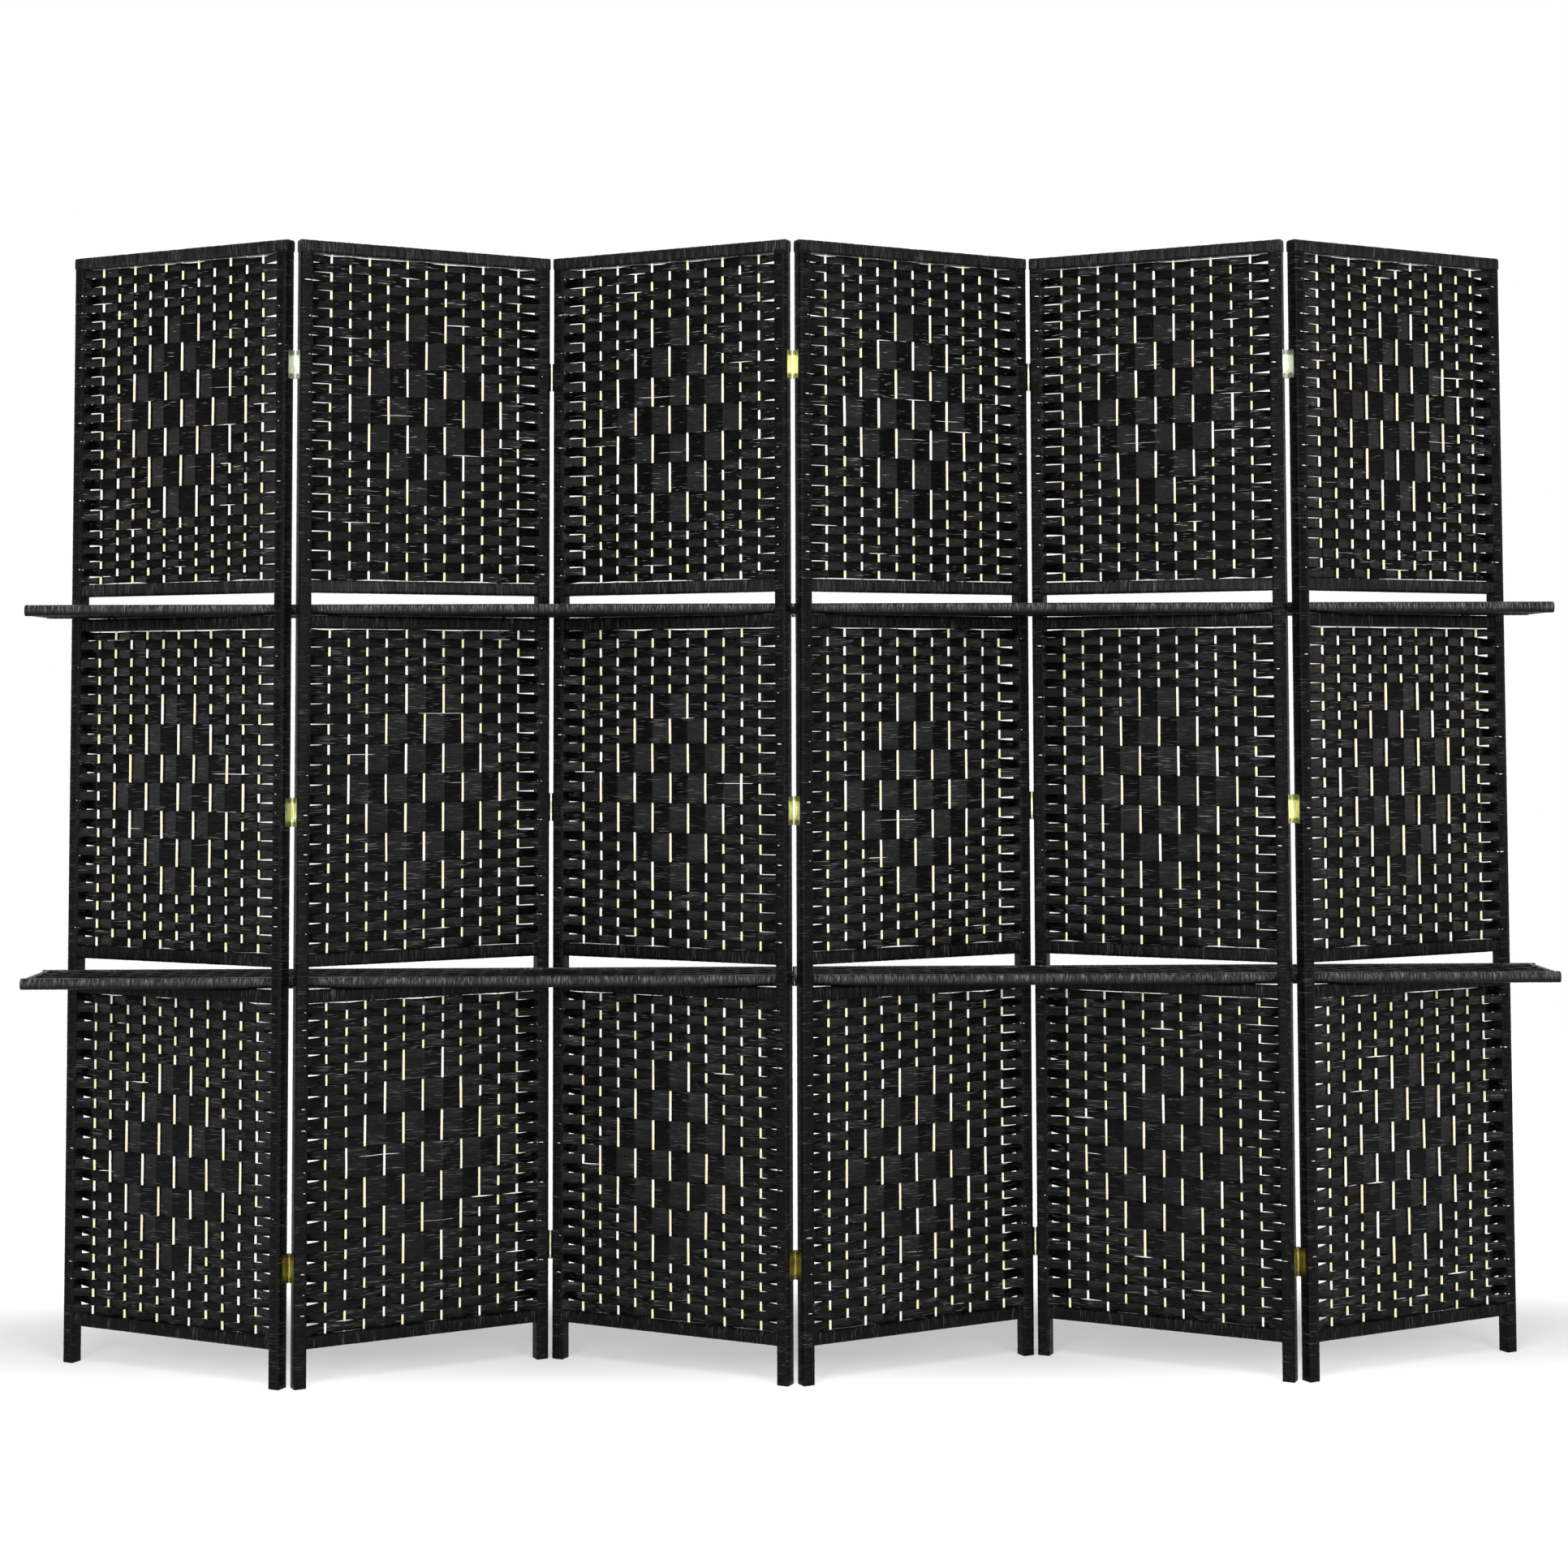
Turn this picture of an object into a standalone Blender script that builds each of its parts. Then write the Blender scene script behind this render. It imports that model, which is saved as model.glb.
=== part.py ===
"""Folding screen of six woven panels, with two tiers of loose shelf boards.

The screen stands in a zigzag. +X runs along it, +Y points to its back and +Z
is up. The origin is on the floor, in the middle of the screen's box. Panels
are numbered from left to right, and so are the seams between them: seam 1
joins panels 1 and 2. Odd seams stand nearest the viewer and even seams
furthest away.
"""

import math

import bmesh
import bpy
from mathutils import Vector

MM = 0.001

# The whole screen
SCREEN_HEIGHT = 1700 * MM
PANEL_WIDTH = 402 * MM
PANEL_COUNT = 6
REST_TURN = math.radians(26.6)  # how far each panel is turned from the X axis
CLEARANCE = 0.3 * MM  # left between pieces that touch or turn in each other

# Panel frame: wooden bars wrapped in paper rope
STILE_WIDTH = 19 * MM
STILE_DEPTH = 21 * MM
RAIL_HEIGHT = 19.5 * MM
RAIL_DEPTH = 18 * MM
STILE_ROUNDING = 3 * MM
RAIL_ROUNDING = 3 * MM
ROUNDING_STEPS = 2
TENON_LENGTH = 6 * MM  # how far the bottom rail runs into the stiles
TOP_RAIL_PROUD = 0.4 * MM  # its rope passes over the stiles' ends
FOOT_HEIGHT = 56 * MM  # from the floor to the lowest rail
SLOT_HEIGHT = 34 * MM  # between the two rails that a shelf lies between
LOWEST_WEAVE_HEIGHT = 485 * MM
MIDDLE_WEAVE_HEIGHT = 482.5 * MM

# Woven infill: upright sticks, let into the rails, with paper rope woven round them
STICK_COUNT = 11
STICK_WIDTH = 5 * MM
STICK_RELIEF = 1.2 * MM  # how far the rope bulges where it passes over a stick
WEAVE_DEPTH = 5 * MM
WEAVE_EMBEDMENT = 4 * MM  # how far the sticks and the rope run into a rail

# Shelf boards: a wrapped rim round a woven panel
SHELF_LENGTH = 1150 * MM
SHELF_THICKNESS = 17 * MM
SHELF_PLAY = 2.2 * MM  # between a board's edge and the stiles beside it
SHELF_MEETING_GAP = 0.5 * MM
SHELF_RIM_WIDTH = 14 * MM
SHELF_RECESS = 1.2 * MM
SHELF_ROUNDING = 5 * MM

# Hinges: two leaves on the stiles' edge faces, turning on one riveted pin
HINGE_HEIGHT = 43 * MM
HINGE_TOP_DISTANCE = 188 * MM  # from the screen's top to the upper hinge's middle
HINGE_FLOOR_DISTANCE = 173 * MM  # from the floor to the lower hinge's middle
LEAF_WIDTH = 14.5 * MM
LEAF_THICKNESS = 0.8 * MM
BARREL_RADIUS = 2 * MM
PIN_RADIUS = 0.9 * MM
PIN_SETBACK = 1.3 * MM  # from a stile's edge face to the pin's axis
PIN_OFFSET = 2.4 * MM  # from a stile's front or back face to the pin's axis
MIDDLE_KNUCKLE_SHARE = 0.46
BARREL_SIDES = 12
CUT_OVERRUN = 1 * MM

# Where the pieces lie
PIN_PITCH = PANEL_WIDTH + 2 * PIN_SETBACK  # pin to pin along a panel
PIN_STAGGER = STILE_DEPTH + 2 * PIN_OFFSET  # pin to pin across a panel
SEAM_PITCH = PIN_PITCH * math.cos(REST_TURN) + PIN_STAGGER * math.sin(REST_TURN)
SEAM_DEPTH = PIN_PITCH * math.sin(REST_TURN) - PIN_STAGGER * math.cos(REST_TURN)
MIDDLE_SEAM = PANEL_COUNT // 2
OPENING_WIDTH = PANEL_WIDTH - 2 * STILE_WIDTH

# Heights, from the floor up
TOP_RAIL_FLOOR = SCREEN_HEIGHT - RAIL_HEIGHT
LOWER_SLOT_FLOOR = FOOT_HEIGHT + RAIL_HEIGHT + LOWEST_WEAVE_HEIGHT + RAIL_HEIGHT
UPPER_SLOT_FLOOR = LOWER_SLOT_FLOOR + SLOT_HEIGHT + RAIL_HEIGHT + MIDDLE_WEAVE_HEIGHT + RAIL_HEIGHT
WEAVE_FLOORS = {
    "lower": FOOT_HEIGHT + RAIL_HEIGHT,
    "middle": LOWER_SLOT_FLOOR + SLOT_HEIGHT + RAIL_HEIGHT,
    "upper": UPPER_SLOT_FLOOR + SLOT_HEIGHT + RAIL_HEIGHT,
}
WEAVE_TOPS = {
    "lower": LOWER_SLOT_FLOOR - RAIL_HEIGHT,
    "middle": UPPER_SLOT_FLOOR - RAIL_HEIGHT,
    "upper": TOP_RAIL_FLOOR,
}
UPPER_HINGE_LEVEL = SCREEN_HEIGHT - HINGE_TOP_DISTANCE
HINGE_LEVELS = {
    "upper": UPPER_HINGE_LEVEL,
    "middle": (UPPER_HINGE_LEVEL + HINGE_FLOOR_DISTANCE) / 2,
    "lower": HINGE_FLOOR_DISTANCE,
}


def clear_scene():
    for old in list(bpy.data.objects):
        bpy.data.objects.remove(old, do_unlink=True)


def make_collection(name):
    collection = bpy.data.collections.new(name)
    bpy.context.scene.collection.children.link(collection)
    return collection


def make_finish(name, color, roughness, metallic):
    """A Principled BSDF material with one colour."""
    material = bpy.data.materials.new(name)
    material.use_nodes = True
    shader = material.node_tree.nodes["Principled BSDF"]
    shader.inputs["Base Color"].default_value = (*color, 1.0)
    shader.inputs["Roughness"].default_value = roughness
    shader.inputs["Metallic"].default_value = metallic
    material.diffuse_color = (*color, 1.0)
    return material


def mesh_object(name, shape, collection):
    """Turn a bmesh into an object in the collection."""
    mesh = bpy.data.meshes.new(name)
    shape.to_mesh(mesh)
    shape.free()
    made = bpy.data.objects.new(name, mesh)
    collection.objects.link(made)
    return made


def box(name, low, high, collection):
    """A box between two corners."""
    low, high = Vector(low), Vector(high)
    shape = bmesh.new()
    bmesh.ops.create_cube(shape, size=1)
    bmesh.ops.scale(shape, vec=high - low, verts=shape.verts)
    bmesh.ops.translate(shape, vec=(low + high) / 2, verts=shape.verts)
    return mesh_object(name, shape, collection)


def bar(name, low, high, rounding, collection):
    """A box whose four longest edges are rounded."""
    made = box(name, low, high, collection)
    shape = bmesh.new()
    shape.from_mesh(made.data)
    size = Vector(high) - Vector(low)
    along = max(range(len(size)), key=lambda axis: size[axis])
    long_edges = [
        edge for edge in shape.edges
        if abs((edge.verts[0].co - edge.verts[1].co)[along]) > size[along] / 2
    ]
    bmesh.ops.bevel(
        shape, geom=long_edges, offset=rounding, segments=ROUNDING_STEPS,
        profile=0.5, affect="EDGES", clamp_overlap=True,
    )
    shape.to_mesh(made.data)
    shape.free()
    return made


def cylinder(name, radius, floor, top, collection):
    """An upright cylinder round the Z axis."""
    shape = bmesh.new()
    bmesh.ops.create_cone(
        shape, cap_ends=True, segments=BARREL_SIDES,
        radius1=radius, radius2=radius, depth=top - floor,
    )
    bmesh.ops.translate(shape, vec=(0, 0, (floor + top) / 2), verts=shape.verts)
    return mesh_object(name, shape, collection)


def combine(name, body, added=(), removed=()):
    """One closed mesh from a body, the pieces joined to it and the pieces cut from it."""
    for operation, tools in (("UNION", added), ("DIFFERENCE", removed)):
        for tool in tools:
            tool.hide_render = True
            tool.display_type = "WIRE"
            step = body.modifiers.new(tool.name, "BOOLEAN")
            step.operation = operation
            step.object = tool
    evaluated = body.evaluated_get(bpy.context.evaluated_depsgraph_get())
    mesh = bpy.data.meshes.new_from_object(evaluated)
    mesh.name = name
    for used in (body, *added, *removed):
        bpy.data.objects.remove(used, do_unlink=True)
    return mesh


def smooth(mesh):
    mesh.shade_smooth()
    mesh.set_sharp_from_angle(angle=math.radians(40))
    return mesh


def rail(name, low_x, high_x, floor, tools):
    """A rail in the middle of the stiles' depth. X runs from the left edge face, Y from the front face."""
    front = (STILE_DEPTH - RAIL_DEPTH) / 2
    return bar(
        name, (low_x, front, floor), (high_x, front + RAIL_DEPTH, floor + RAIL_HEIGHT),
        RAIL_ROUNDING, tools,
    )


def frame_mesh(tools):
    """Two stiles, the bottom rail between them and the top rail over them."""
    stiles = [
        bar(
            f"stile_{side}",
            (left, 0, 0),
            (left + STILE_WIDTH, STILE_DEPTH, TOP_RAIL_FLOOR + RAIL_HEIGHT / 2),
            STILE_ROUNDING, tools,
        )
        for side, left in (("left", 0), ("right", PANEL_WIDTH - STILE_WIDTH))
    ]
    bottom_rail = rail(
        "rail_bottom", STILE_WIDTH - TENON_LENGTH, PANEL_WIDTH - STILE_WIDTH + TENON_LENGTH,
        FOOT_HEIGHT, tools,
    )
    top_rail = bar(
        "rail_top",
        (-TOP_RAIL_PROUD, -TOP_RAIL_PROUD, TOP_RAIL_FLOOR),
        (PANEL_WIDTH + TOP_RAIL_PROUD, STILE_DEPTH + TOP_RAIL_PROUD, SCREEN_HEIGHT),
        STILE_ROUNDING, tools,
    )
    return smooth(combine("frame", top_rail, added=(*stiles, bottom_rail)))


def woven_slab(name, floor, top, tools):
    """The sticks and the rope as one slab: its plan outline, with a rib at each stick, raised."""
    left = STILE_WIDTH + 2 * CLEARANCE
    width = OPENING_WIDTH - 4 * CLEARANCE
    pitch = OPENING_WIDTH / (STICK_COUNT + 1)
    half_depth = WEAVE_DEPTH / 2
    front = [(0, -half_depth)]
    for stick in range(1, STICK_COUNT + 1):
        middle = stick * pitch - 2 * CLEARANCE
        half_rib = STICK_WIDTH / 2
        crest = half_depth + STICK_RELIEF
        front += [
            (middle - half_rib - STICK_RELIEF, -half_depth),
            (middle - half_rib, -crest),
            (middle + half_rib, -crest),
            (middle + half_rib + STICK_RELIEF, -half_depth),
        ]
    front.append((width, -half_depth))
    outline = front + [(x, -y) for x, y in reversed(front)]

    shape = bmesh.new()
    base = shape.faces.new([
        shape.verts.new((left + x, STILE_DEPTH / 2 + y, floor)) for x, y in outline
    ])
    raised = bmesh.ops.extrude_face_region(shape, geom=[base])["geom"]
    bmesh.ops.translate(
        shape, vec=(0, 0, top - floor),
        verts=[item for item in raised if isinstance(item, bmesh.types.BMVert)],
    )
    bmesh.ops.recalc_face_normals(shape, faces=shape.faces)
    return mesh_object(name, shape, tools)


def section_mesh(level, tools):
    """A woven section with the rails that border a shelf slot. The others belong to the frame."""
    floor, top = WEAVE_FLOORS[level], WEAVE_TOPS[level]
    has_rail_below, has_rail_above = floor > FOOT_HEIGHT + RAIL_HEIGHT, top < TOP_RAIL_FLOOR
    slab = woven_slab(
        f"slab_{level}",
        floor - WEAVE_EMBEDMENT if has_rail_below else floor + CLEARANCE,
        top + WEAVE_EMBEDMENT if has_rail_above else top - CLEARANCE,
        tools,
    )
    rail_floors = [floor - RAIL_HEIGHT] * has_rail_below + [top] * has_rail_above
    rails = [
        rail(
            f"rail_{level}_{index}", STILE_WIDTH + CLEARANCE,
            PANEL_WIDTH - STILE_WIDTH - CLEARANCE, rail_floor, tools,
        )
        for index, rail_floor in enumerate(rail_floors)
    ]
    return smooth(combine(f"weave_{level}", slab, added=rails))


def shelf_mesh(depth, tools):
    """A board along +X from its inner end, resting on Z = 0, with woven panels let into its faces."""
    board = bar(
        "board", (0, 0, 0), (SHELF_LENGTH, depth, SHELF_THICKNESS), SHELF_ROUNDING, tools,
    )
    pockets = [
        box(
            f"pocket_{face}",
            (SHELF_RIM_WIDTH, SHELF_RIM_WIDTH, floor),
            (SHELF_LENGTH - SHELF_RIM_WIDTH, depth - SHELF_RIM_WIDTH, top), tools,
        )
        for face, floor, top in (
            ("under", -CUT_OVERRUN, SHELF_RECESS),
            ("upper", SHELF_THICKNESS - SHELF_RECESS, SHELF_THICKNESS + CUT_OVERRUN),
        )
    ]
    return smooth(combine("shelf", board, removed=pockets))


def leaf_mesh(name, side, knuckles, has_pin, tools):
    """A hinge leaf with its pin axis at the origin.

    The stile lies on the given side of the axis, -1 left or 1 right, and
    towards -Y. Each knuckle is a pair of heights.
    """
    inner = side * (PIN_SETBACK - CLEARANCE)
    outer = inner - side * LEAF_THICKNESS
    low_x, high_x = min(inner, outer), max(inner, outer)
    half = HINGE_HEIGHT / 2
    plate = box(
        "plate", (low_x, -PIN_OFFSET - LEAF_WIDTH, -half), (high_x, -PIN_OFFSET, half), tools,
    )
    added = []
    for index, (floor, top) in enumerate(knuckles):
        added.append(box(
            f"tongue_{index}", (low_x, -PIN_OFFSET - LEAF_THICKNESS, floor), (high_x, 0, top), tools,
        ))
        added.append(cylinder(f"knuckle_{index}", BARREL_RADIUS, floor, top, tools))
    if has_pin:
        added.append(cylinder("pin", PIN_RADIUS, -half + LEAF_THICKNESS, half - LEAF_THICKNESS, tools))
        return smooth(combine(name, plate, added=added))
    bore = cylinder("bore", PIN_RADIUS + CLEARANCE, -half - CUT_OVERRUN, half + CUT_OVERRUN, tools)
    return smooth(combine(name, plate, added=added, removed=[bore]))


def is_near(seam):
    return seam % 2 == 1


def heading(panel):
    """The panel's turn about +Z: odd panels come towards the viewer from left to right."""
    return -REST_TURN if panel % 2 == 1 else REST_TURN


def pin_in_panel(panel, seam):
    """The seam's pin axis in the panel's own frame, which starts at its left edge and front face."""
    x = PANEL_WIDTH + PIN_SETBACK if seam == panel else -PIN_SETBACK
    y = STILE_DEPTH + PIN_OFFSET if is_near(seam) else -PIN_OFFSET
    return Vector((x, y, 0))


def make_pivot(name, place, turn, parent, collection):
    """An empty on a joint's axis."""
    pivot = bpy.data.objects.new(name, None)
    pivot.location = place
    pivot.rotation_euler.z = turn
    pivot.parent = parent
    pivot.empty_display_size = STILE_WIDTH
    collection.objects.link(pivot)
    return pivot


def anchor_seam(panel):
    """The seam whose pin carries the panel, counted outwards from the middle panel."""
    return panel if panel <= MIDDLE_SEAM else panel - 1


def place(name, mesh, location, parent, finish, collection, turn=0.0):
    """One named piece: a shared mesh at its place under a pivot."""
    piece = bpy.data.objects.new(name, mesh)
    piece.location = location
    piece.rotation_euler.z = turn
    piece.parent = parent
    if not mesh.materials:
        mesh.materials.append(finish)
    collection.objects.link(piece)
    return piece


def build_pivots(collection):
    """The panels' pivots, each under its neighbour's, from the middle outwards."""
    root_place = Vector((0, -SEAM_DEPTH / 2, 0))
    pivots = {
        MIDDLE_SEAM: make_pivot(
            f"panel_{MIDDLE_SEAM}_pivot", root_place, heading(MIDDLE_SEAM), None, collection,
        ),
    }
    outwards = [(panel, panel + 1) for panel in range(MIDDLE_SEAM - 1, 0, -1)]
    outwards += [(panel, panel - 1) for panel in range(MIDDLE_SEAM + 1, PANEL_COUNT + 1)]
    for panel, carrier in outwards:
        seam = anchor_seam(panel)
        offset = pin_in_panel(carrier, seam) - pin_in_panel(carrier, anchor_seam(carrier))
        pivots[panel] = make_pivot(
            f"panel_{panel}_pivot", offset, heading(panel) - heading(carrier),
            pivots[carrier], collection,
        )
    return pivots


def build_panels(pivots, parts, tools, finishes):
    frame = frame_mesh(tools)
    sections = {level: section_mesh(level, tools) for level in WEAVE_FLOORS}
    for panel, pivot in pivots.items():
        corner = -pin_in_panel(panel, anchor_seam(panel))
        place(f"panel_{panel}_frame", frame, corner, pivot, finishes["wrap"], parts)
        for level, section in sections.items():
            place(
                f"panel_{panel}_weave_{level}", section, corner, pivot, finishes["weave"], parts,
            )


def build_hinges(pivots, parts, tools, finishes):
    """Three hinges at each seam. The pin leaf is always on the odd panel."""
    half = HINGE_HEIGHT / 2
    half_knuckle = half * MIDDLE_KNUCKLE_SHARE
    end_knuckles = ((-half, -half_knuckle - CLEARANCE), (half_knuckle + CLEARANCE, half))
    leaves = {
        "pin": leaf_mesh("pin_leaf", -1, end_knuckles, True, tools),
        "sleeve": leaf_mesh("sleeve_leaf", 1, ((-half_knuckle, half_knuckle),), False, tools),
    }
    for seam in range(1, PANEL_COUNT):
        for panel in (seam, seam + 1):
            kind = "pin" if panel % 2 == 1 else "sleeve"
            turn = 0.0 if is_near(seam) else math.pi
            pin = pin_in_panel(panel, seam) - pin_in_panel(panel, anchor_seam(panel))
            for level, height in HINGE_LEVELS.items():
                place(
                    f"hinge_{seam}{seam + 1}_{level}_{kind}_leaf", leaves[kind],
                    pin + Vector((0, 0, height)), pivots[panel], finishes["brass"], parts, turn,
                )


def build_shelves(pivots, parts, tools, finishes):
    """Four boards. They turn about the near stile of the middle panel as the screen folds."""
    carrier = MIDDLE_SEAM
    stile_middle = Vector((PANEL_WIDTH - STILE_WIDTH / 2, STILE_DEPTH / 2, 0))
    stile_middle -= pin_in_panel(carrier, anchor_seam(carrier))
    pivot = make_pivot("shelf_pivot", stile_middle, -heading(carrier), pivots[carrier], parts)

    # The boards lie between the near and the far stiles, clear of their corners at any turn
    stile_corner = math.hypot(STILE_WIDTH / 2 - STILE_ROUNDING, STILE_DEPTH / 2 - STILE_ROUNDING)
    stile_reach = stile_corner + STILE_ROUNDING + SHELF_PLAY
    stile_line_depth = (PANEL_WIDTH - STILE_WIDTH) * math.sin(REST_TURN)
    board = shelf_mesh(stile_line_depth - 2 * stile_reach, tools)

    # From the stile's middle to the middle seam, along X
    from_stile_to_seam = (
        (PIN_SETBACK + STILE_WIDTH / 2) * math.cos(REST_TURN)
        + (PIN_OFFSET + STILE_DEPTH / 2) * math.sin(REST_TURN)
    )
    for level, floor in (("lower", LOWER_SLOT_FLOOR), ("upper", UPPER_SLOT_FLOOR)):
        height = floor + CLEARANCE
        left_end = from_stile_to_seam - SHELF_MEETING_GAP / 2 - SHELF_LENGTH
        right_end = from_stile_to_seam + SHELF_MEETING_GAP / 2
        for side, start in (("left", left_end), ("right", right_end)):
            place(
                f"shelf_{level}_{side}", board, Vector((start, stile_reach, height)), pivot,
                finishes["shelf"], parts,
            )


def main():
    clear_scene()
    parts = make_collection("folding_screen_with_shelves")
    tools = make_collection("tools")
    finishes = {
        "wrap": make_finish("wrapped_rope", (0.022, 0.022, 0.024), 0.62, 0.0),
        "weave": make_finish("woven_rope", (0.030, 0.030, 0.032), 0.58, 0.0),
        "shelf": make_finish("shelf_rope", (0.028, 0.028, 0.030), 0.60, 0.0),
        "brass": make_finish("hinge_brass", (0.62, 0.50, 0.24), 0.32, 1.0),
    }
    pivots = build_pivots(parts)
    build_panels(pivots, parts, tools, finishes)
    build_hinges(pivots, parts, tools, finishes)
    build_shelves(pivots, parts, tools, finishes)
    bpy.data.collections.remove(tools)


main()
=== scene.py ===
"""Folding screen of six woven panels with loose shelf boards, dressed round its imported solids.

Every rope-covered part is a mesh of its own: flat paper rope woven round upright sticks, rope
wound round the stiles and rails, and boards with a wound rim round a woven middle. The brass
hinges keep their solids and get screws. Sizes are in metres in the frame of the solids.
"""

import logging
import math
from contextlib import contextmanager
from dataclasses import dataclass, field
from enum import Enum
from functools import cache
from typing import Any, Callable, Iterator, Sequence

import bmesh
import bpy
import numpy as np
from mathutils import Matrix, Vector


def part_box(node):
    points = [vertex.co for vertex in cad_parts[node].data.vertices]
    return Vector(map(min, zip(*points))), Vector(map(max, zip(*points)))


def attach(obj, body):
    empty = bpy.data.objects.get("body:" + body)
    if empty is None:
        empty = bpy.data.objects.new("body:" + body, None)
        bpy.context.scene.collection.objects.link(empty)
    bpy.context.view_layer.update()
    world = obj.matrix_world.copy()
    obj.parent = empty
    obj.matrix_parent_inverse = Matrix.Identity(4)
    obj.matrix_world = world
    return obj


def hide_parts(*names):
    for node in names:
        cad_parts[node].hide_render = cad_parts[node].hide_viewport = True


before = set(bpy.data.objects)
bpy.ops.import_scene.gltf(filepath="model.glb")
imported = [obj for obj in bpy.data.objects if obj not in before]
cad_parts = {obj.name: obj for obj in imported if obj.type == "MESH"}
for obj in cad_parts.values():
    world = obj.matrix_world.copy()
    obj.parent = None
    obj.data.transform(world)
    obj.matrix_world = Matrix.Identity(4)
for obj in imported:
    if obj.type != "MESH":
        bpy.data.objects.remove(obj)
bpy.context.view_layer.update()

MM = 0.001
REST_TURN = math.radians(26.6)
PANEL_COUNT = 6
FIBRE = "fibre"  # the rope's own coordinates on each point: along it, across it, and its number
Colour = tuple[float, float, float]
Opening = Callable[[np.ndarray], np.ndarray]  # how wide a groove is at each point round a bar
log = logging.getLogger("folding_screen")


class Level(Enum):
    """The three woven sections of a panel, by the names that the solids use."""

    LOWER = "lower"
    MIDDLE = "middle"
    UPPER = "upper"


class Side(Enum):
    """Left or right, as seen from the front."""

    LEFT = "left"
    RIGHT = "right"


class Axis(Enum):
    """The axis that a wound bar runs along, as an index into its coordinates."""

    ALONG_WIDTH = 0
    ALONG_DEPTH = 1
    UPRIGHT = 2


class Signal:
    """A shader socket that takes part in Python arithmetic."""

    def __init__(self, bench: "ShaderBench", socket: bpy.types.NodeSocket) -> None:
        """Hold a socket and the bench that its nodes are added on."""
        self.bench = bench
        self.socket = socket

    def _math(self, operation: str, first: Any, second: Any) -> "Signal":
        """Add one Math node on two signals or numbers."""
        return self.bench.node("ShaderNodeMath", {"operation": operation}, {0: first, 1: second})

    def __add__(self, other: Any) -> "Signal":
        """Return the sum."""
        return self._math("ADD", self, other)

    def __radd__(self, other: Any) -> "Signal":
        """Return the sum."""
        return self._math("ADD", other, self)

    def __sub__(self, other: Any) -> "Signal":
        """Return the difference."""
        return self._math("SUBTRACT", self, other)

    def __rsub__(self, other: Any) -> "Signal":
        """Return the difference the other way round."""
        return self._math("SUBTRACT", other, self)

    def __mul__(self, other: Any) -> "Signal":
        """Return the product."""
        return self._math("MULTIPLY", self, other)

    def __rmul__(self, other: Any) -> "Signal":
        """Return the product."""
        return self._math("MULTIPLY", other, self)

    def __abs__(self) -> "Signal":
        """Return the value without its sign."""
        return self._math("ABSOLUTE", self, 0.0)

    def at_least(self, other: Any) -> "Signal":
        """Return the larger of the two."""
        return self._math("MAXIMUM", self, other)

    def part(self, name: str) -> "Signal":
        """Return a vector's X, Y or Z."""
        return self.bench.node("ShaderNodeSeparateXYZ", None, {0: self}, output=name)

    def vector(self, operation: str, other: Sequence[float], output: Any = 0) -> "Signal":
        """Add one Vector Math node on this vector and another.

        Args:
            operation: The node's operation.
            other: The other vector.
            output: The output wanted, by name or index.

        Returns:
            That output.
        """
        return self.bench.node(
            "ShaderNodeVectorMath", {"operation": operation}, {0: self, 1: tuple(other)}, output
        )

    def between(self, low: float, high: float) -> "Signal":
        """Map a range onto 0 to 1, held at both ends.

        Args:
            low: The value that becomes 0.
            high: The value that becomes 1.

        Returns:
            The mapped value.
        """
        return self.bench.node(
            "ShaderNodeMapRange", {"clamp": True, "interpolation_type": "SMOOTHSTEP"},
            {"Value": self, "From Min": low, "From Max": high},
        )


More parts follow.
